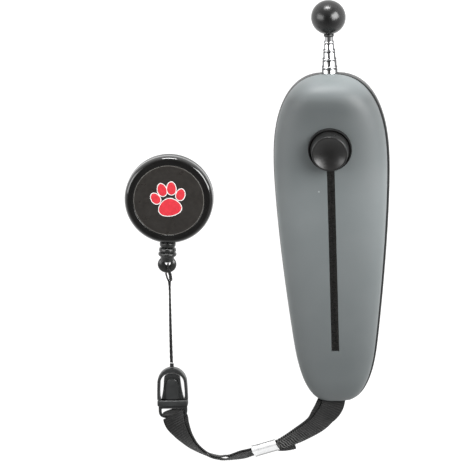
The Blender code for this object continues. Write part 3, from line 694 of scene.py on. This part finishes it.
def nose_ring():
    profile = [(3.25, -1.4), (4.1, -1.4), (4.1, -8.6), (5.2, -8.6), (5.2, -9.8), (3.25, -9.8)]
    ring = turned(soft(profile, 0.25, 3, True), 72, True)
    made("nose_ring", ring, "black_satin", "handle", STICK, replaces=("nose_bush",), slot="black_satin")


def tuft(bm, root, tip, thick):
    """One bristle bundle: a short tapering rod that bows upwards a little."""
    rings = []
    for t, share in ((0, 1.0), (0.5, 0.9), (1, 0.5)):
        mid = root.lerp(tip, t) + Vector((0, 0, 0.08 * sin(pi * t)))
        around = (pi / 4 + pi / 2 * k for k in range(4))
        rings.append([mid + share * thick * Vector((0, cos(a), sin(a))) for a in around])
    loft(rings, bm)


def brush():
    """Two rows of short bristles that meet over the slot's middle."""
    dice = random.Random(7)
    bm = bmesh.new()
    for side in (-1, 1):
        for layer_z, spacing in ((-0.75, 0.3), (-0.45, 0.24), (-0.2, 0.2)):
            y = -SLOT_DOWN + 0.15
            while y < SLOT_UP - 0.2:
                y += spacing * dice.uniform(0.75, 1.25)
                root = Vector((side * (SLOT_WIDTH / 2 - 0.03), y, layer_z))
                reach = dice.uniform(1.35, 1.75)
                tip = root + Vector((-side * reach, dice.uniform(-0.35, 0.35), dice.uniform(-0.1, 0.18)))
                tuft(bm, root, tip, dice.uniform(0.1, 0.15))
    carriers = [box((-4.2, -SLOT_DOWN - 2, -2.4), (-0.2, SLOT_UP + 2, -1.95)),
                box((0.2, -SLOT_DOWN - 2, -2.4), (4.2, SLOT_UP + 2, -1.95))]
    made("track_brush", joined(bm, *carriers), "brush", "handle", FACE, replaces=("track_seal",),
         slot="black_brush")


# ---- slider and button ----

def slider_ring():
    rim = [(0, SKIRT_FLOOR), (BUTTON_R + 0.3, SKIRT_FLOOR), (BUTTON_R + 0.3, SKIRT_RIM),
           (SKIRT_R - 0.05, SKIRT_RIM), (SKIRT_R, 0.25), (1.2, 0.25), (0, 0.25)]
    ring = made("slider_ring", turned(soft(rim, [0, 0.1, 0.18, 0.3, 0.1, 0.1, 0])), "ring_black", None, FACE)
    stem = box((-1.2, -4, -3.65), (1.2, 4, 0.5), 0.15)
    fused(ring, tool(stem, FACE))
    settled(ring, "slider", "black_satin", "slider_skirt")


def button():
    """The dished thumb button: a drafted side, a rounded rim and a shallow bowl."""
    bowl, steps = BUTTON_TOP_R * 0.9, 20
    dish = [(bowl * k / steps, BUTTON_TOP - 0.1 - DISH * (1 - (k / steps) ** 2.2)) for k in range(steps + 1)]
    rim = soft([dish[-1], (bowl + 0.25, BUTTON_TOP), (BUTTON_TOP_R, BUTTON_TOP - 0.15),
                (BUTTON_R, BUTTON_LOW), (0.6, BUTTON_LOW)], [0, 0.25, 0.45, 0.12, 0], 6)
    cap = dish[:-1] + rim + [(0.6, -3.8), (0, -3.8)]
    made("button_cap", turned(cap, 128), "knob_black", "button", FACE, replaces=("thumb_button",),
         slot="black_satin")


# ---- stick ----

GROOVE_TOP, GROOVE_LOW, GROOVE_DEEP = 0.8, 1.35, 0.14  # the groove behind a tube's mouth


def tube_outline(inside, outer, bore, top, low):
    """A tube's outline, from its rolled mouth and its groove to its foot and up its bore."""
    lip = [(inside + (outer - inside) * sin(a), top - 0.55 * (1 - cos(a)))
           for a in (pi / 2 * j / 8 for j in range(9))]
    deep = outer - GROOVE_DEEP
    groove = [(outer, top - GROOVE_TOP), (deep, top - 0.95), (deep, top - 1.15), (outer, top - GROOVE_LOW)]
    return [(inside, top - 0.5), *lip, *groove, (outer, -low), (bore, -low), (bore, top - 1.5)]


def stick():
    """Four chromed tubes, each with a groove behind its rolled mouth that is painted dark as shade, round the
    tip's rod and ball.
    """
    next_sizes = [section[0] for section in SECTIONS[1:]] + [TIP_ROD[0]]
    for k, ((outer, bore, top, low), next_size) in enumerate(zip(SECTIONS, next_sizes), 1):
        tube = turned(tube_outline(next_size + 0.07, outer, bore, top, low), 80, True)
        # Faces inside each groove take the darkened chrome: painted shade in the groove.
        for face in tube.faces:
            face.material_index = int(top - GROOVE_LOW < face.calc_center_median().y < top - GROOVE_TOP)
        piece = made(f"stick_tube_{k}", tube, "chrome", f"section_{k}", STICK,
                     replaces=(f"stick_section_{k}",), slot="chrome", smooth=50)
        piece.data.materials.append(LOOKS["chrome_painted_groove_shade"])
    radius, top, low = TIP_ROD
    rod = [(0, top), (radius, top), (radius, -low), (0, -low)]
    made("tip_rod", turned(rod, 64, True), "chrome", "tip", STICK, replaces=("stick_tip_rod",), slot="chrome")


def target_ball():
    """The ball at the stick's end, with the small collar at its foot."""
    arc = [(BALL_R * sin(a), BALL_Y + BALL_R * cos(a)) for a in (pi * k / 72 for k in range(66))]
    ball = [(0, arc[0][1]), *arc[1:], (1.9, BALL_FOOT), (1.7, BALL_FOOT), (1.7, BALL_FOOT + 1.4),
            (0, BALL_FOOT + 1.4)]
    made("ball", turned(ball, 96, True), "ball_gloss", "tip", STICK, replaces=("tip_ball",),
         slot="black_gloss")
    top = BALL_FOOT - 0.15
    profile = [(1.7, top), (1.95, top), (2.05, top - 0.6), (1.9, top - 1.1), (1.7, top - 1.1)]
    collar = turned(soft(profile, 0.15, 3, True), 64, True)
    made("ball_collar", collar, "black_satin", "tip", STICK, replaces=("tip_collar",), slot="black_satin")


# ---- reel ----

def reel_case():
    """The glossy cover with its rim round the label, and the duller cup behind it."""
    front = soft([(0, 11.2), (LABEL_R, 11.2), (LABEL_R, CASE_TOP), (16.75, CASE_TOP), (CASE_R, 10.4),
                  (CASE_R, CASE_SPLIT + 0.1), (16.4, CASE_SPLIT + 0.1), (16.4, 10.4), (0, 10.4)],
                 [0, 0.05, 0.2, 0.7, 1.2, 0.12, 0.1, 0.5, 0], 6)
    cover = made("reel_cover", turned(front, 144), "black_gloss", None, REEL)
    back = soft([(1.35, 4.6), (16.5, 4.6), (16.5, CASE_SPLIT - 0.1), (CASE_R, CASE_SPLIT - 0.1),
                 (CASE_R, 4.8), (16.5, CASE_LOW), (1.35, CASE_LOW)],
                [0.1, 0.6, 0.1, 0.12, 1.0, 1.0, 0.1], 5, True)
    cup = made("reel_cup", turned(back, 144), "cup_black", None, REEL)
    for half, old in ((cover, "reel_case_front"), (cup, "reel_case_back")):
        way = turned(((0, -12.0), (2.15, -12.0), (2.15, -20.0), (0, -20.0)), 48, True)
        cut(half, tool(way, NOZZLE))
        settled(half, "reel", "black_gloss", old)


def reel():
    reel_case()
    disc = soft([(0, 11.62), (LABEL_R - 0.12, 11.62), (LABEL_R - 0.12, 11.3), (0, 11.3)],
                [0, 0.1, 0.05, 0], 4)
    made("reel_disc", turned(disc, 144), "label", "reel", REEL, replaces=("reel_label",), slot="label")
    paw_print()
    nozzle = soft([(0.9, -15.1), (2.35, -15.1), (2.35, -16.2), (2.0, -16.2), (2.0, -17.85),
                   (NOZZLE_R, -17.85), (NOZZLE_R, -19.1), (2.7, -19.7), (0.9, -19.7)],
                  [0.1, 0.1, 0.1, 0.1, 0.05, 0.25, 0.3, 0.2, 0.3], 4, True)
    made("cord_nozzle", turned(nozzle, 80, True), "tab_gloss", "reel", NOZZLE, replaces=("reel_nozzle",),
         slot="black_satin")
    clip()


def pad(bm, x, y, wide, high, turn, z, thick, grow, pinch):
    """A small domed oval, narrower at its top by `pinch`."""
    sides, rings = 40, []
    for scale, level in ((1.0, 0.0), (1.0, thick * 0.6), (0.9, thick), (0.5, thick * 1.15)):
        ring = []
        for a in (2 * pi * k / sides for k in range(sides)):
            u = (wide / 2 + grow) * cos(a) * (1 - pinch * sin(a)) * scale
            v = (high / 2 + grow) * sin(a) * scale
            ring.append((x + u * cos(turn) - v * sin(turn), y + u * sin(turn) + v * cos(turn), z + level))
        rings.append(ring)
    loft(rings, bm)


PADS = ((0.0, -2.2, 8.8, 6.9, 0.0, 0.22), (-5.0, 2.2, 3.4, 4.6, 0.45, 0.1), (-1.85, 5.2, 3.5, 5.1, 0.12, 0.1),
        (1.95, 5.2, 3.5, 5.1, -0.12, 0.1), (5.1, 2.1, 3.4, 4.6, -0.45, 0.1))


def paw_print():
    """A plain paw print on the label: red pads with a pale outline."""
    tilt = REEL @ Matrix.Translation((0.1, -0.6, 11.62)) @ Matrix.Rotation(radians(12), 4, "Z")
    for name, look, grow, low, thick in (("print_outline", "white_ink", 0.32, 0.0, 0.05),
                                         ("print_pads", "red_ink", 0.0, 0.01, 0.085)):
        bm = bmesh.new()
        for x, y, wide, high, turn, pinch in PADS:
            pad(bm, x, y, wide, high, turn, low, thick, grow, pinch)
        made(name, bm, look, "reel", tilt, slot="label")


def clip():
    """The steel belt clip: a strip folded back under itself."""
    steel_thick, low, high, fold_y = 0.8, 0.4, 2.8, 12.4
    bend = (high - low) / 2
    arc = [(fold_y + bend * sin(a), low + bend + bend * cos(a)) for a in (pi * k / 14 for k in range(15))]
    tail = [(9.0, low), (5.0, low), (0.0, low), (-5.0, low), (-8.0, low + 0.02), (-9.4, low + 0.2),
            (-10.5, low + 0.6), (-11.6, low + 1.1), (-12.4, low + 1.4)]
    middle = [(-7.0, high), (-2.0, high), (4.0, high), (9.0, high), *arc, *tail]
    rings = []
    for k, (y, z) in enumerate(middle):
        before, after = middle[max(k - 1, 0)], middle[min(k + 1, len(middle) - 1)]
        slope = atan2(after[1] - before[1], after[0] - before[0])
        off = Vector((0, -sin(slope), cos(slope))) * steel_thick / 2
        end = min(k, len(middle) - 1 - k)
        half = 5.5 - (0.9 if end == 0 else 0.2 if end == 1 else 0.0)
        cross = soft([(half, 1.0), (-half, 1.0), (-half, -1.0), (half, -1.0)], 0.3, 3, True)
        rings.append([Vector((x, y, z)) + off * s for x, s in cross])
    strip = made("clip_strip", loft(rings), "steel", None, REEL)
    cut(strip, tool(turned(((0, 3.5), (1.35, 3.5), (1.35, 2.0), (0, 2.0)), 32), REEL))
    settled(strip, "reel", "spring_steel", "belt_clip")


# ---- pull tab and loop of cord ----

def tab():
    """The tab on the reel's cord: two rings, a neck and a thick eye."""
    profile = [(0, -19.95), (3.3, -19.95), (3.5, -21.3), (2.85, -21.65), (3.65, -22.0), (3.65, -23.1),
               (2.75, -23.6), (2.7, -25.6), (0, -25.6)]
    stack = turned(soft(profile, [0, 0.4, 0.45, 0.2, 0.45, 0.5, 0.3, 0.2, 0], 4), 80, True)
    body = made("tab_body", stack, "tab_gloss", None, NOZZLE)
    ring = turned(soft([(0, 1.6), (0.55, 1.6), (1.0, 0.9), (1.0, -0.9), (0.55, -1.6), (0, -1.6)],
                       [0, 0.35, 0.5, 0.5, 0.35, 0], 5), 72)
    bmesh.ops.scale(ring, vec=(3.75, 3.4, 1.0), verts=ring.verts)
    hole = soft([(1.9, 2.4), (1.1, 1.2), (1.1, -1.2), (1.9, -2.4)], 0.6, 4)
    hole_tool = turned([(0, 2.4), *hole, (0, -2.4)], 48)
    bore = turned(((0, -18.0), (CORD_R + 0.12, -18.0), (CORD_R + 0.12, -22.0), (0, -22.0)), 24, True)
    fused(body, tool(ring, REEL @ Matrix.Translation((0, -26.75, NOZZLE_Z))))
    cut(body, tool(hole_tool, REEL @ Matrix.Translation((*HOLE, NOZZLE_Z))), tool(bore, NOZZLE))
    settled(body, "clip", "black_satin", "pull_tab")


def reel_cord():
    """The cord between the spool and the tab; the real one grows as the reel is pulled off, but this one
    keeps one length.
    """
    steps = 24
    profile = [(0, -13.2), *((CORD_R, -13.2 - 8.4 * k / steps) for k in range(steps + 1)), (0, -21.6)]
    cord = made("pull_cord", turned(profile, 14, True), "cord", None, NOZZLE)
    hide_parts("reel_cord_lead")
    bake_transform(cord)


# The loop leaves the knot, passes through the tab's eye and comes back to the knot.
LOOP_ROUTE = (
    (-35.7, -66.65, 2.85), (-35.75, -60.0, 2.95), (-35.75, -52.0, 3.6), (-35.7, -44.0, 4.75),
    (-35.65, -38.0, 5.7), (-35.5, -33.4, 6.3), (-35.1, -31.6, 7.0), (-34.85, -30.2, 8.1),
    (-34.85, -29.2, 9.3), (-35.2, -27.8, 10.15), (-35.75, -26.3, 10.15), (-35.88, -25.6, 9.95),
    (-35.95, -25.25, 9.2), (-35.95, -25.15, 8.0), (-36.0, -25.25, 6.8), (-36.15, -25.6, 6.05),
    (-36.6, -27.4, 5.75), (-37.0, -29.4, 5.4), (-36.75, -31.0, 5.2), (-36.15, -32.6, 5.2),
    (-35.9, -34.4, 5.15), (-35.85, -38.0, 4.75), (-36.0, -44.0, 3.9), (-36.2, -52.0, 2.8),
    (-36.3, -60.0, 2.2), (-36.3, -66.65, 2.4),
)


def cloth(rings):
    """A solid through rings of (point, millimetres along, millimetres around), with its weave map."""
    bm = loft([[point for point, _, _ in ring] for ring in rings])
    bm.verts.index_update()
    places = [place for ring in rings for _, *place in ring]
    layer = bm.loops.layers.uv.new("weave")
    for face in bm.faces:
        for loop in face.loops:
            loop[layer].uv = places[loop.vert.index]
    return bm


def rope(route, radius, step, depth=0.1):
    """A laid cord along a route, its plies twisting round it."""
    sides, plies, pitch = 12, 3, 2.2
    turns = [2 * pi * j / sides for j in range(sides)]
    fine, run = even_route(route, step)
    rings = []
    for at, (here, side, up) in zip(run, frames_along(fine)):
        radii = [radius - depth * (0.5 - 0.5 * cos(plies * a - 2 * pi * at / pitch)) for a in turns]
        rings.append([(here + side * r * cos(a) + up * r * sin(a), at, radius * a)
                      for r, a in zip(radii, turns)])
    return cloth(rings), fine, run[-1]


HITCH = (-35.1, -31.3, 7.2)  # where the loop is hitched to itself below the tab
HITCH_TAIL = ((-35.95, -26.7, 10.2), (-35.75, -27.9, 10.15), (-35.45, -29.2, 9.4), (-35.4, -30.4, 8.2),
              (-35.35, -31.3, 7.4))


def cord_loop():
    bm, fine, length = rope(LOOP_ROUTE, LOOP_R + 0.06, 0.3, depth=0.07)
    loop = made("cord_loop", bm, "cord", "clip", replaces=("loop_cord",), slot="cord", smooth=60)
    tail, _, _ = rope(HITCH_TAIL, 0.36, 0.3)
    knot = joined(knotted((CHAIN_X, KNOT_Y, 2.6), 0.62, 0.34, 2.4, 0.55),
                  knotted(HITCH, 0.5, 0.33, 1.9, 0.6), tail)
    tie = made("cord_knotted", knot, "cord", "clip", replaces=("cord_knot",), slot="cord", smooth=60)


def knotted(centre, radius, thick, turns, rise):
    """A few tight turns of cord about Y, as a knot."""
    x, y, z = centre
    route = []
    for k in range(int(turns * 10) + 1):
        a = 2 * pi * k / 10
        across = radius * (1 - 0.12 * cos(2 * a))
        route.append((x + across * cos(a), y + rise * (k / 10 - turns / 2), z + across * 0.9 * sin(a)))
    bm, _, _ = rope(route, thick, 0.2)
    return bm


# ---- buckle ----

def arch_side(foot_x, waist_x, half, crown, foot):
    """One side of the arch's bar: up from a foot, over the half ellipse and down to the other foot."""
    shoulder, steps = -75.0, 26
    leg = [(foot_x, foot), (waist_x, foot + 3.5)]
    over = [(half * cos(pi * k / steps), shoulder + (crown - shoulder) * sin(pi * k / steps))
            for k in range(steps + 1)]
    return leg + over + [(-x, y) for x, y in reversed(leg)]


def buckle_arch():
    """The clip's arch: a rounded bar swept over the half ellipse, with its two prongs."""
    foot = COLLAR_TOP + 0.3
    outer = arch_side(6.2, 6.12, 5.97, BUCKLE_TOP, foot)
    inner = arch_side(4.95, 4.95, 4.75, BUCKLE_TOP - CROWN, foot)
    section = soft([(0, 0.5), (1, 0.5), (1, 4.2), (0, 4.2)], 0.35, 3, True)
    rings = [[(xo + (xi - xo) * t, yo + (yi - yo) * t, z) for t, z in section]
             for (xo, yo), (xi, yi) in zip(outer, inner)]
    arch = made("buckle_arch", loft(rings), "buckle_black", None, CHAIN)
    for side in (-1, 1):
        low, high = sorted((side * 4.7, side * 5.45))
        prong = box((low, foot - 1.8, 1.3), (high, foot + 0.8, 3.5), 0.15)
        fused(arch, tool(prong, CHAIN))
    settled(arch, "clip", "black_satin", "buckle_clip")


def mirrored(half):
    """An outline from its right half, whose last point lies on the middle line."""
    return half + [(-x, y) for x, y in reversed(half[:-1])]


def buckle_tongue():
    """The release tongue: a blade that flares to its foot, with a raised panel and grip steps at its root."""
    foot = COLLAR_TOP + 0.3
    half = [(4.5, foot), (4.0, foot + 2.2), (3.6, foot + 4.4), (3.35, -74.6), (3.15, -72.3), (2.4, -71.65),
            (1.3, -71.1), (0, -70.95)]
    bends = [0, 2, 2, 1.5, 0.5, 1, 1, 2]
    outline = soft(mirrored(half), bends + bends[-2::-1], 4)
    blade = made("release_tongue", slab(outline, 1.3, 3.5, 0.25), "buckle_black", None, CHAIN)
    root = soft(mirrored([(2.55, foot + 0.15), (2.5, -75.0), (1.6, -73.4), (0, -72.9)]),
                [0.3, 1.5, 1.2, 1.5, 1.2, 1.5, 0.3], 4, True)
    fused(blade, tool(slab(root, 3.0, 4.35, 0.3), CHAIN))
    spring, steps = -74.9, 24
    for width, top in ((2.95, -72.0), (2.75, -72.45)):
        ridge = [(width * cos(pi * k / steps), spring + (top - spring) * sin(pi * k / steps))
                 for k in range(steps + 1)]
        ridge += [(x * (width - 0.22) / width, spring + (y - spring) * (top - spring - 0.22) / (top - spring))
                  for x, y in reversed(ridge)]
        fused(blade, tool(slab(ridge, 3.2, 3.75, 0.08), CHAIN))
    settled(blade, "tongue", "black_satin", "buckle_tongue")


def buckle_socket():
    """The collar that the clip snaps into, with the rounded loop that holds the webbing."""
    collar = made("buckle_collar", box((-6.15, COLLAR_LOW, 0.1), (6.15, COLLAR_TOP, 4.75), 0.55, 4),
                  "buckle_black", None, CHAIN)
    loop = soft([(5.75, COLLAR_LOW + 0.6), (5.75, LOOP_LOW), (-5.75, LOOP_LOW), (-5.75, COLLAR_LOW + 0.6)],
                [0.2, 3.2, 3.2, 0.2], 8, True)
    top, low = COLLAR_LOW - 1.2, LOOP_LOW + 1.1
    window = soft([(4.6, top), (4.6, low), (-4.6, low), (-4.6, top)], [0.5, 1.2, 1.2, 0.5], 5, True)
    cavity = box((-5.5, COLLAR_TOP - 1.95, 1.0), (5.5, COLLAR_TOP + 1.0, 3.8))
    fused(collar, tool(slab(loop, 1.25, 3.45, 0.4), CHAIN))
    cut(collar, tool(slab(window, -2, 8), CHAIN), tool(cavity, CHAIN))
    rounded(collar, 0.18, 2, 50)
    settled(collar, "handle", "black_satin", "buckle_socket")


# ---- strap ----

# Down the middle of the strap from the handle's pin to the buckle: x, y, z, lean, width, the step
# between its two layers, and how far across the rear layer is set from the front one.
STRAP_ROUTE = (
    (29.4, -73.5, 8.2, 0, 9.0, 1.3, 0.5), (29.0, -78.6, 8.05, 0, 9.0, 1.3, 0.9),
    (28.15, -82.0, 7.9, 8, 9.1, 1.3, 1.6), (26.8, -85.0, 7.75, 19, 9.2, 1.2, 1.9),
    (24.6, -88.1, 7.5, 30, 9.4, 1.1, 1.5), (21.4, -91.9, 6.9, 40, 9.5, 1.0, 0.8),
    (14.2, -96.6, 6.0, 49, 9.6, 0.95, 0.3), (8.4, -99.6, 5.55, 58, 9.6, 0.9, 0.0),
    (5.9, -100.4, 5.4, 62, 9.6, 0.9, 0.0), (-3.8, -103.1, 5.35, 66, 9.6, 0.9, 0.0),
    (-8.1, -104.3, 5.3, 64, 9.6, 0.95, 0.0), (-12.9, -105.35, 5.35, 71, 9.6, 0.95, 0.0),
    (-15.2, -105.5, 5.38, 77, 9.6, 1.45, 0.0), (-17.5, -105.45, 5.4, 79, 9.6, 0.95, 0.0),
    (-20.9, -104.6, 5.4, 78, 9.6, 0.9, 0.1),
    (-24.5, -102.8, 5.3, 72, 9.6, 0.9, 0.3), (-28.1, -100.1, 5.2, 63, 9.5, 0.95, 0.6),
    (-31.1, -96.6, 4.8, 51, 9.4, 1.0, 1.0), (-33.5, -92.8, 4.0, 34, 9.1, 1.5, 1.2),
    (-35.0, -89.6, 2.85, 11, 8.7, 2.7, 0.8), (-35.7, -88.2, 2.4, 1, 8.5, 3.4, 0.3),
)
STRAP_STEP, STRAP_COLUMNS = 0.15, 11
LAYER_THICK, RIB_PITCH, RIB_DEPTH = 0.8, 0.82, 0.06
CRIMP_AT, CRIMP_LONG = 38.7, 10  # the crimp along the route
GATHER_REACH, GATHER_PAST, GATHER_PITCH, GATHER_DEPTH = 15.0, 6, 1.0, 0.24


def gather(run, across):
    """The webbing's puckers at a distance along it: deep beside the crimp, gone inside it and far from it."""
    if run > CRIMP_AT:
        near = max(0.0, 1 - (run - CRIMP_AT - CRIMP_LONG) / GATHER_PAST) * (run > CRIMP_AT + 10.2)
        return 0.4 * near * GATHER_DEPTH * cos(2 * pi * run / GATHER_PITCH)
    near = max(0.0, 1 - (CRIMP_AT - run) / GATHER_REACH) ** 0.6
    return near * GATHER_DEPTH * cos(2 * pi * (run + 0.12 * sin(across * 1.1)) / GATHER_PITCH)


def crested(bm, heights):
    """Stores how high each vertex lies on a pucker, from 0 to 1, for the woven material."""
    layer = bm.verts.layers.float.new("crest")
    for vert, height in zip(bm.verts, heights):
        vert[layer] = height
    return bm


def round_band(columns):
    """Each point round a band's section: its side, and its place across from -1 to 1."""
    return [(side, (j / (columns - 1) * 2 - 1) * -side) for side in (1, -1) for j in range(columns)]


def band(stations, run, columns, shift):
    """A ribbed band over (point, across, up, width) stations, its puckers moved on by a shift."""
    rings, crests = [], []
    for at, (here, across, up, width) in zip(run, stations):
        rib = RIB_DEPTH * cos(2 * pi * at / RIB_PITCH)
        ring = []
        for side, t in round_band(columns):
            edge = 1 - abs(t) ** 6
            pucker = gather(at + shift, t * width / 2)
            lift = (rib + pucker) * (0.4 + 0.6 * edge)
            crests.append(max(0.0, side * pucker) / GATHER_DEPTH)
            high = side * LAYER_THICK / 2 * (0.55 + 0.45 * edge) + lift
            ring.append((here + across * (t * width / 2) + up * high, at, t * width / 2))
        rings.append(ring)
    return crested(cloth(rings), crests)


def laid(rows, step, way=1):
    """Stations along the webbing; at lean 0 it lies flat, at 90 it stands on edge. `way` -1 turns it over."""
    fine, run = even_route(rows, step)
    stations = []
    for k, row in enumerate(fine):
        before, after = fine[max(k - 1, 0)][:3], fine[min(k + 1, len(fine) - 1)][:3]
        ahead = (Vector(after) - Vector(before)).normalized() * way
        level = Vector((ahead.y, -ahead.x, 0)).normalized()
        across = level * cos(radians(row[3])) + Vector((0, 0, sin(radians(row[3]))))
        across = (across - ahead * across.dot(ahead)).normalized()
        stations.append((row, Vector(row[:3]), across, across.cross(ahead).normalized()))
    return stations, fine, run


def strap_layers():
    """The strap's front and rear layers."""
    stations, fine, run = laid(STRAP_ROUTE, STRAP_STEP)
    layers = []
    for side, shift in ((1, 0.0), (-1, 0.5)):
        middles = [(here + up * side * row[5] / 2 - across * side * row[6] / 2, across, up, row[4])
                   for row, here, across, up in stations]
        layers.append(band(middles, run, STRAP_COLUMNS, shift))
    return layers, fine, run[-1]


def fold():
    """The webbing's turn through the buckle's window, over the bar and back beneath it."""
    x, y, _, _, width, step, slide = STRAP_ROUTE[-1]
    reach, low_side, columns, turns = 2.25, 0.33, 15, 16
    rings = []
    for k in range(turns + 1):
        a = pi / 2 - pi * k / turns
        out, up = Vector((0, cos(a), 0)), Vector((0, cos(a), sin(a)))
        ring = []
        for side, t in round_band(columns):
            crown = reach * (low_side + (1 - low_side) * min(1.0, (t + 1) / 0.85) ** 0.8)
            middle = Vector((x + slide / 2 * -sin(a), y - 0.2, 2.4)) + out * crown
            middle.z += step / 2 * sin(a)
            point = middle + Vector((t * width / 2, 0, 0)) + up * side * LAYER_THICK / 2 * 0.95
            ring.append((point, k * 0.3, t * width / 2))
        rings.append(ring)
    return cloth(rings)


def joined(*parts):
    """Several bmeshes as one."""
    whole = bmesh.new()
    for part in parts:
        mesh = bpy.data.meshes.new("part")
        part.to_mesh(mesh)
        part.free()
        whole.from_mesh(mesh)
        bpy.data.meshes.remove(mesh)
    return whole


def strap():
    layers, fine, length = strap_layers()
    piece = made("web_strap", joined(*layers, fold()), "webbing", "handle",
                 replaces=("strap_handle_loop", "strap_buckle_loop"), slot="webbing", smooth=60)
    heading = atan2(CRIMP_FROM[1] - CRIMP_TO[1], CRIMP_FROM[0] - CRIMP_TO[0])
    half = (Vector(CRIMP_FROM) - Vector(CRIMP_TO)).length / 2
    centre = ((CRIMP_FROM[0] + CRIMP_TO[0]) / 2, (CRIMP_FROM[1] + CRIMP_TO[1]) / 2, CRIMP_Z)
    place = (Matrix.Translation(centre) @ Matrix.Rotation(heading, 4, "Z")
             @ Matrix.Rotation(radians(CRIMP_LEAN), 4, "X"))
    crimp = made("crimp_sleeve", crimp_sleeve(half), "aluminium", "handle", place,
                 replaces=("strap_crimp",), slot="aluminium")
    end = made("web_end", cut_end(), "webbing", "handle", replaces=("strap_cut_end",), slot="webbing",
               smooth=60)


def cut_end():
    """The webbing's end, which comes out of the crimp below the strap and lies along its lower edge."""
    rows = ((6.0, -102.4, 1.95, 36, 4.0), (8.6, -102.3, 1.85, 34, 4.2), (11.2, -101.9, 1.8, 32, 4.2),
            (12.8, -101.5, 1.8, 32, 4.1))
    stations, _, run = laid(rows, 0.19, -1)
    return band([(here, across, up, row[4]) for row, here, across, up in stations], run, 7, 0.3)


def crimp_sleeve(half):
    """A flattened tube of aluminium, pinched along its middle."""
    wide, thick = WEB_WIDTH / 2 + 0.2, 1.35
    rings = []
    for k in range(25):
        t = k / 24 * 2 - 1
        flare = 0.1 * abs(t) ** 8
        ring = []
        for x, z in soft([(wide, thick), (-wide, thick), (-wide, -thick), (wide, -thick)], 0.9, 5, True):
            dent = 0.22 * max(0.0, 1 - abs(x + 0.4) / 0.4) * (1 - abs(t) ** 4)
            ring.append((t * half, x * (1 + flare * 0.2), z * (1 + flare) - (dent if z > 0 else -dent)))
        rings.append(ring)
    return loft(rings)


# ---- the CAD's own pieces that stay ----

def dress_cad():
    looks = {
        "stick_base_tube": "chrome", "tube_end_plug": "black_satin", "strap_pin": "steel",
        "slider_carriage": "white_plastic", "click_leaf": "steel", "leaf_rivet": "aluminium",
        "reel_axle": "white_plastic", "reel_spool": "white_plastic", "reel_mainspring": "steel",
        "wound_cord": "cord", "clip_rivet": "steel",
    }
    looks.update({f"shell_screw_{k}": "steel" for k in (1, 2, 3, 4)})
    for name, look in looks.items():
        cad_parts[name].data.materials.clear()
        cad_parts[name].data.materials.append(LOOKS[look])


# ---- floor and light ----

def studio():
    """A glowing pale floor, the surround and the softboxes."""
    bm = bmesh.new()
    bmesh.ops.create_grid(bm, x_segments=1, y_segments=1, size=4000)
    made("floor", bm, "floor", None)
    sky()
    for name, where, size, power in SOFTBOXES:
        data = bpy.data.lights.new(name, "AREA")
        data.shape, data.size, data.size_y, data.energy = "RECTANGLE", *size, power
        lamp = placed(name, data)
        lamp.location = where
        lamp.rotation_euler = (-Vector(where)).to_track_quat("-Z", "Y").to_euler()
        lamp.visible_camera = False
    bpy.context.scene.view_settings.view_transform = "Standard"


# Each softbox: its name, place in metres, width and height, and power.
SOFTBOXES = (
    ("top_box", (-0.05, 1.2, 0.27), (0.5, 0.26), 12.0),
    ("left_box", (-0.85, 0.2, 0.62), (0.5, 0.9), 6.0),
    ("right_box", (0.5, 0.22, 0.42), (0.4, 0.55), 7.5),
)


def sky():
    """A pale surround with a dark patch overhead, where a light tent opens for the camera."""
    world = bpy.data.worlds.new("studio")
    bpy.context.scene.world = world
    world.use_nodes = True
    tree = world.node_tree
    height = part_of(tree, "ShaderNodeTexCoord", "Generated", "Z")
    ramp = node(tree, "ShaderNodeValToRGB")
    stops = ((0.0, 1.0), (0.4, 0.6), (0.7, 0.4), (0.9, 0.2), (0.96, 0.03))
    for element, (place, level) in zip(ramp.color_ramp.elements, (stops[0], stops[-1])):
        element.position, element.color = place, (level, level, level, 1)
    for place, level in stops[1:-1]:
        ramp.color_ramp.elements.new(place).color = (level, level, level, 1)
    tree.links.new(height, ramp.inputs["Fac"])
    tree.links.new(ramp.outputs["Color"], tree.nodes["Background"].inputs["Color"])


# ---- build ----

camera()
cord_loop()
strap()
shells()
nose_ring()
brush()
slider_ring()
button()
stick()
target_ball()
reel()
tab()
reel_cord()
buckle_arch()
buckle_tongue()
buckle_socket()
dress_cad()
studio()
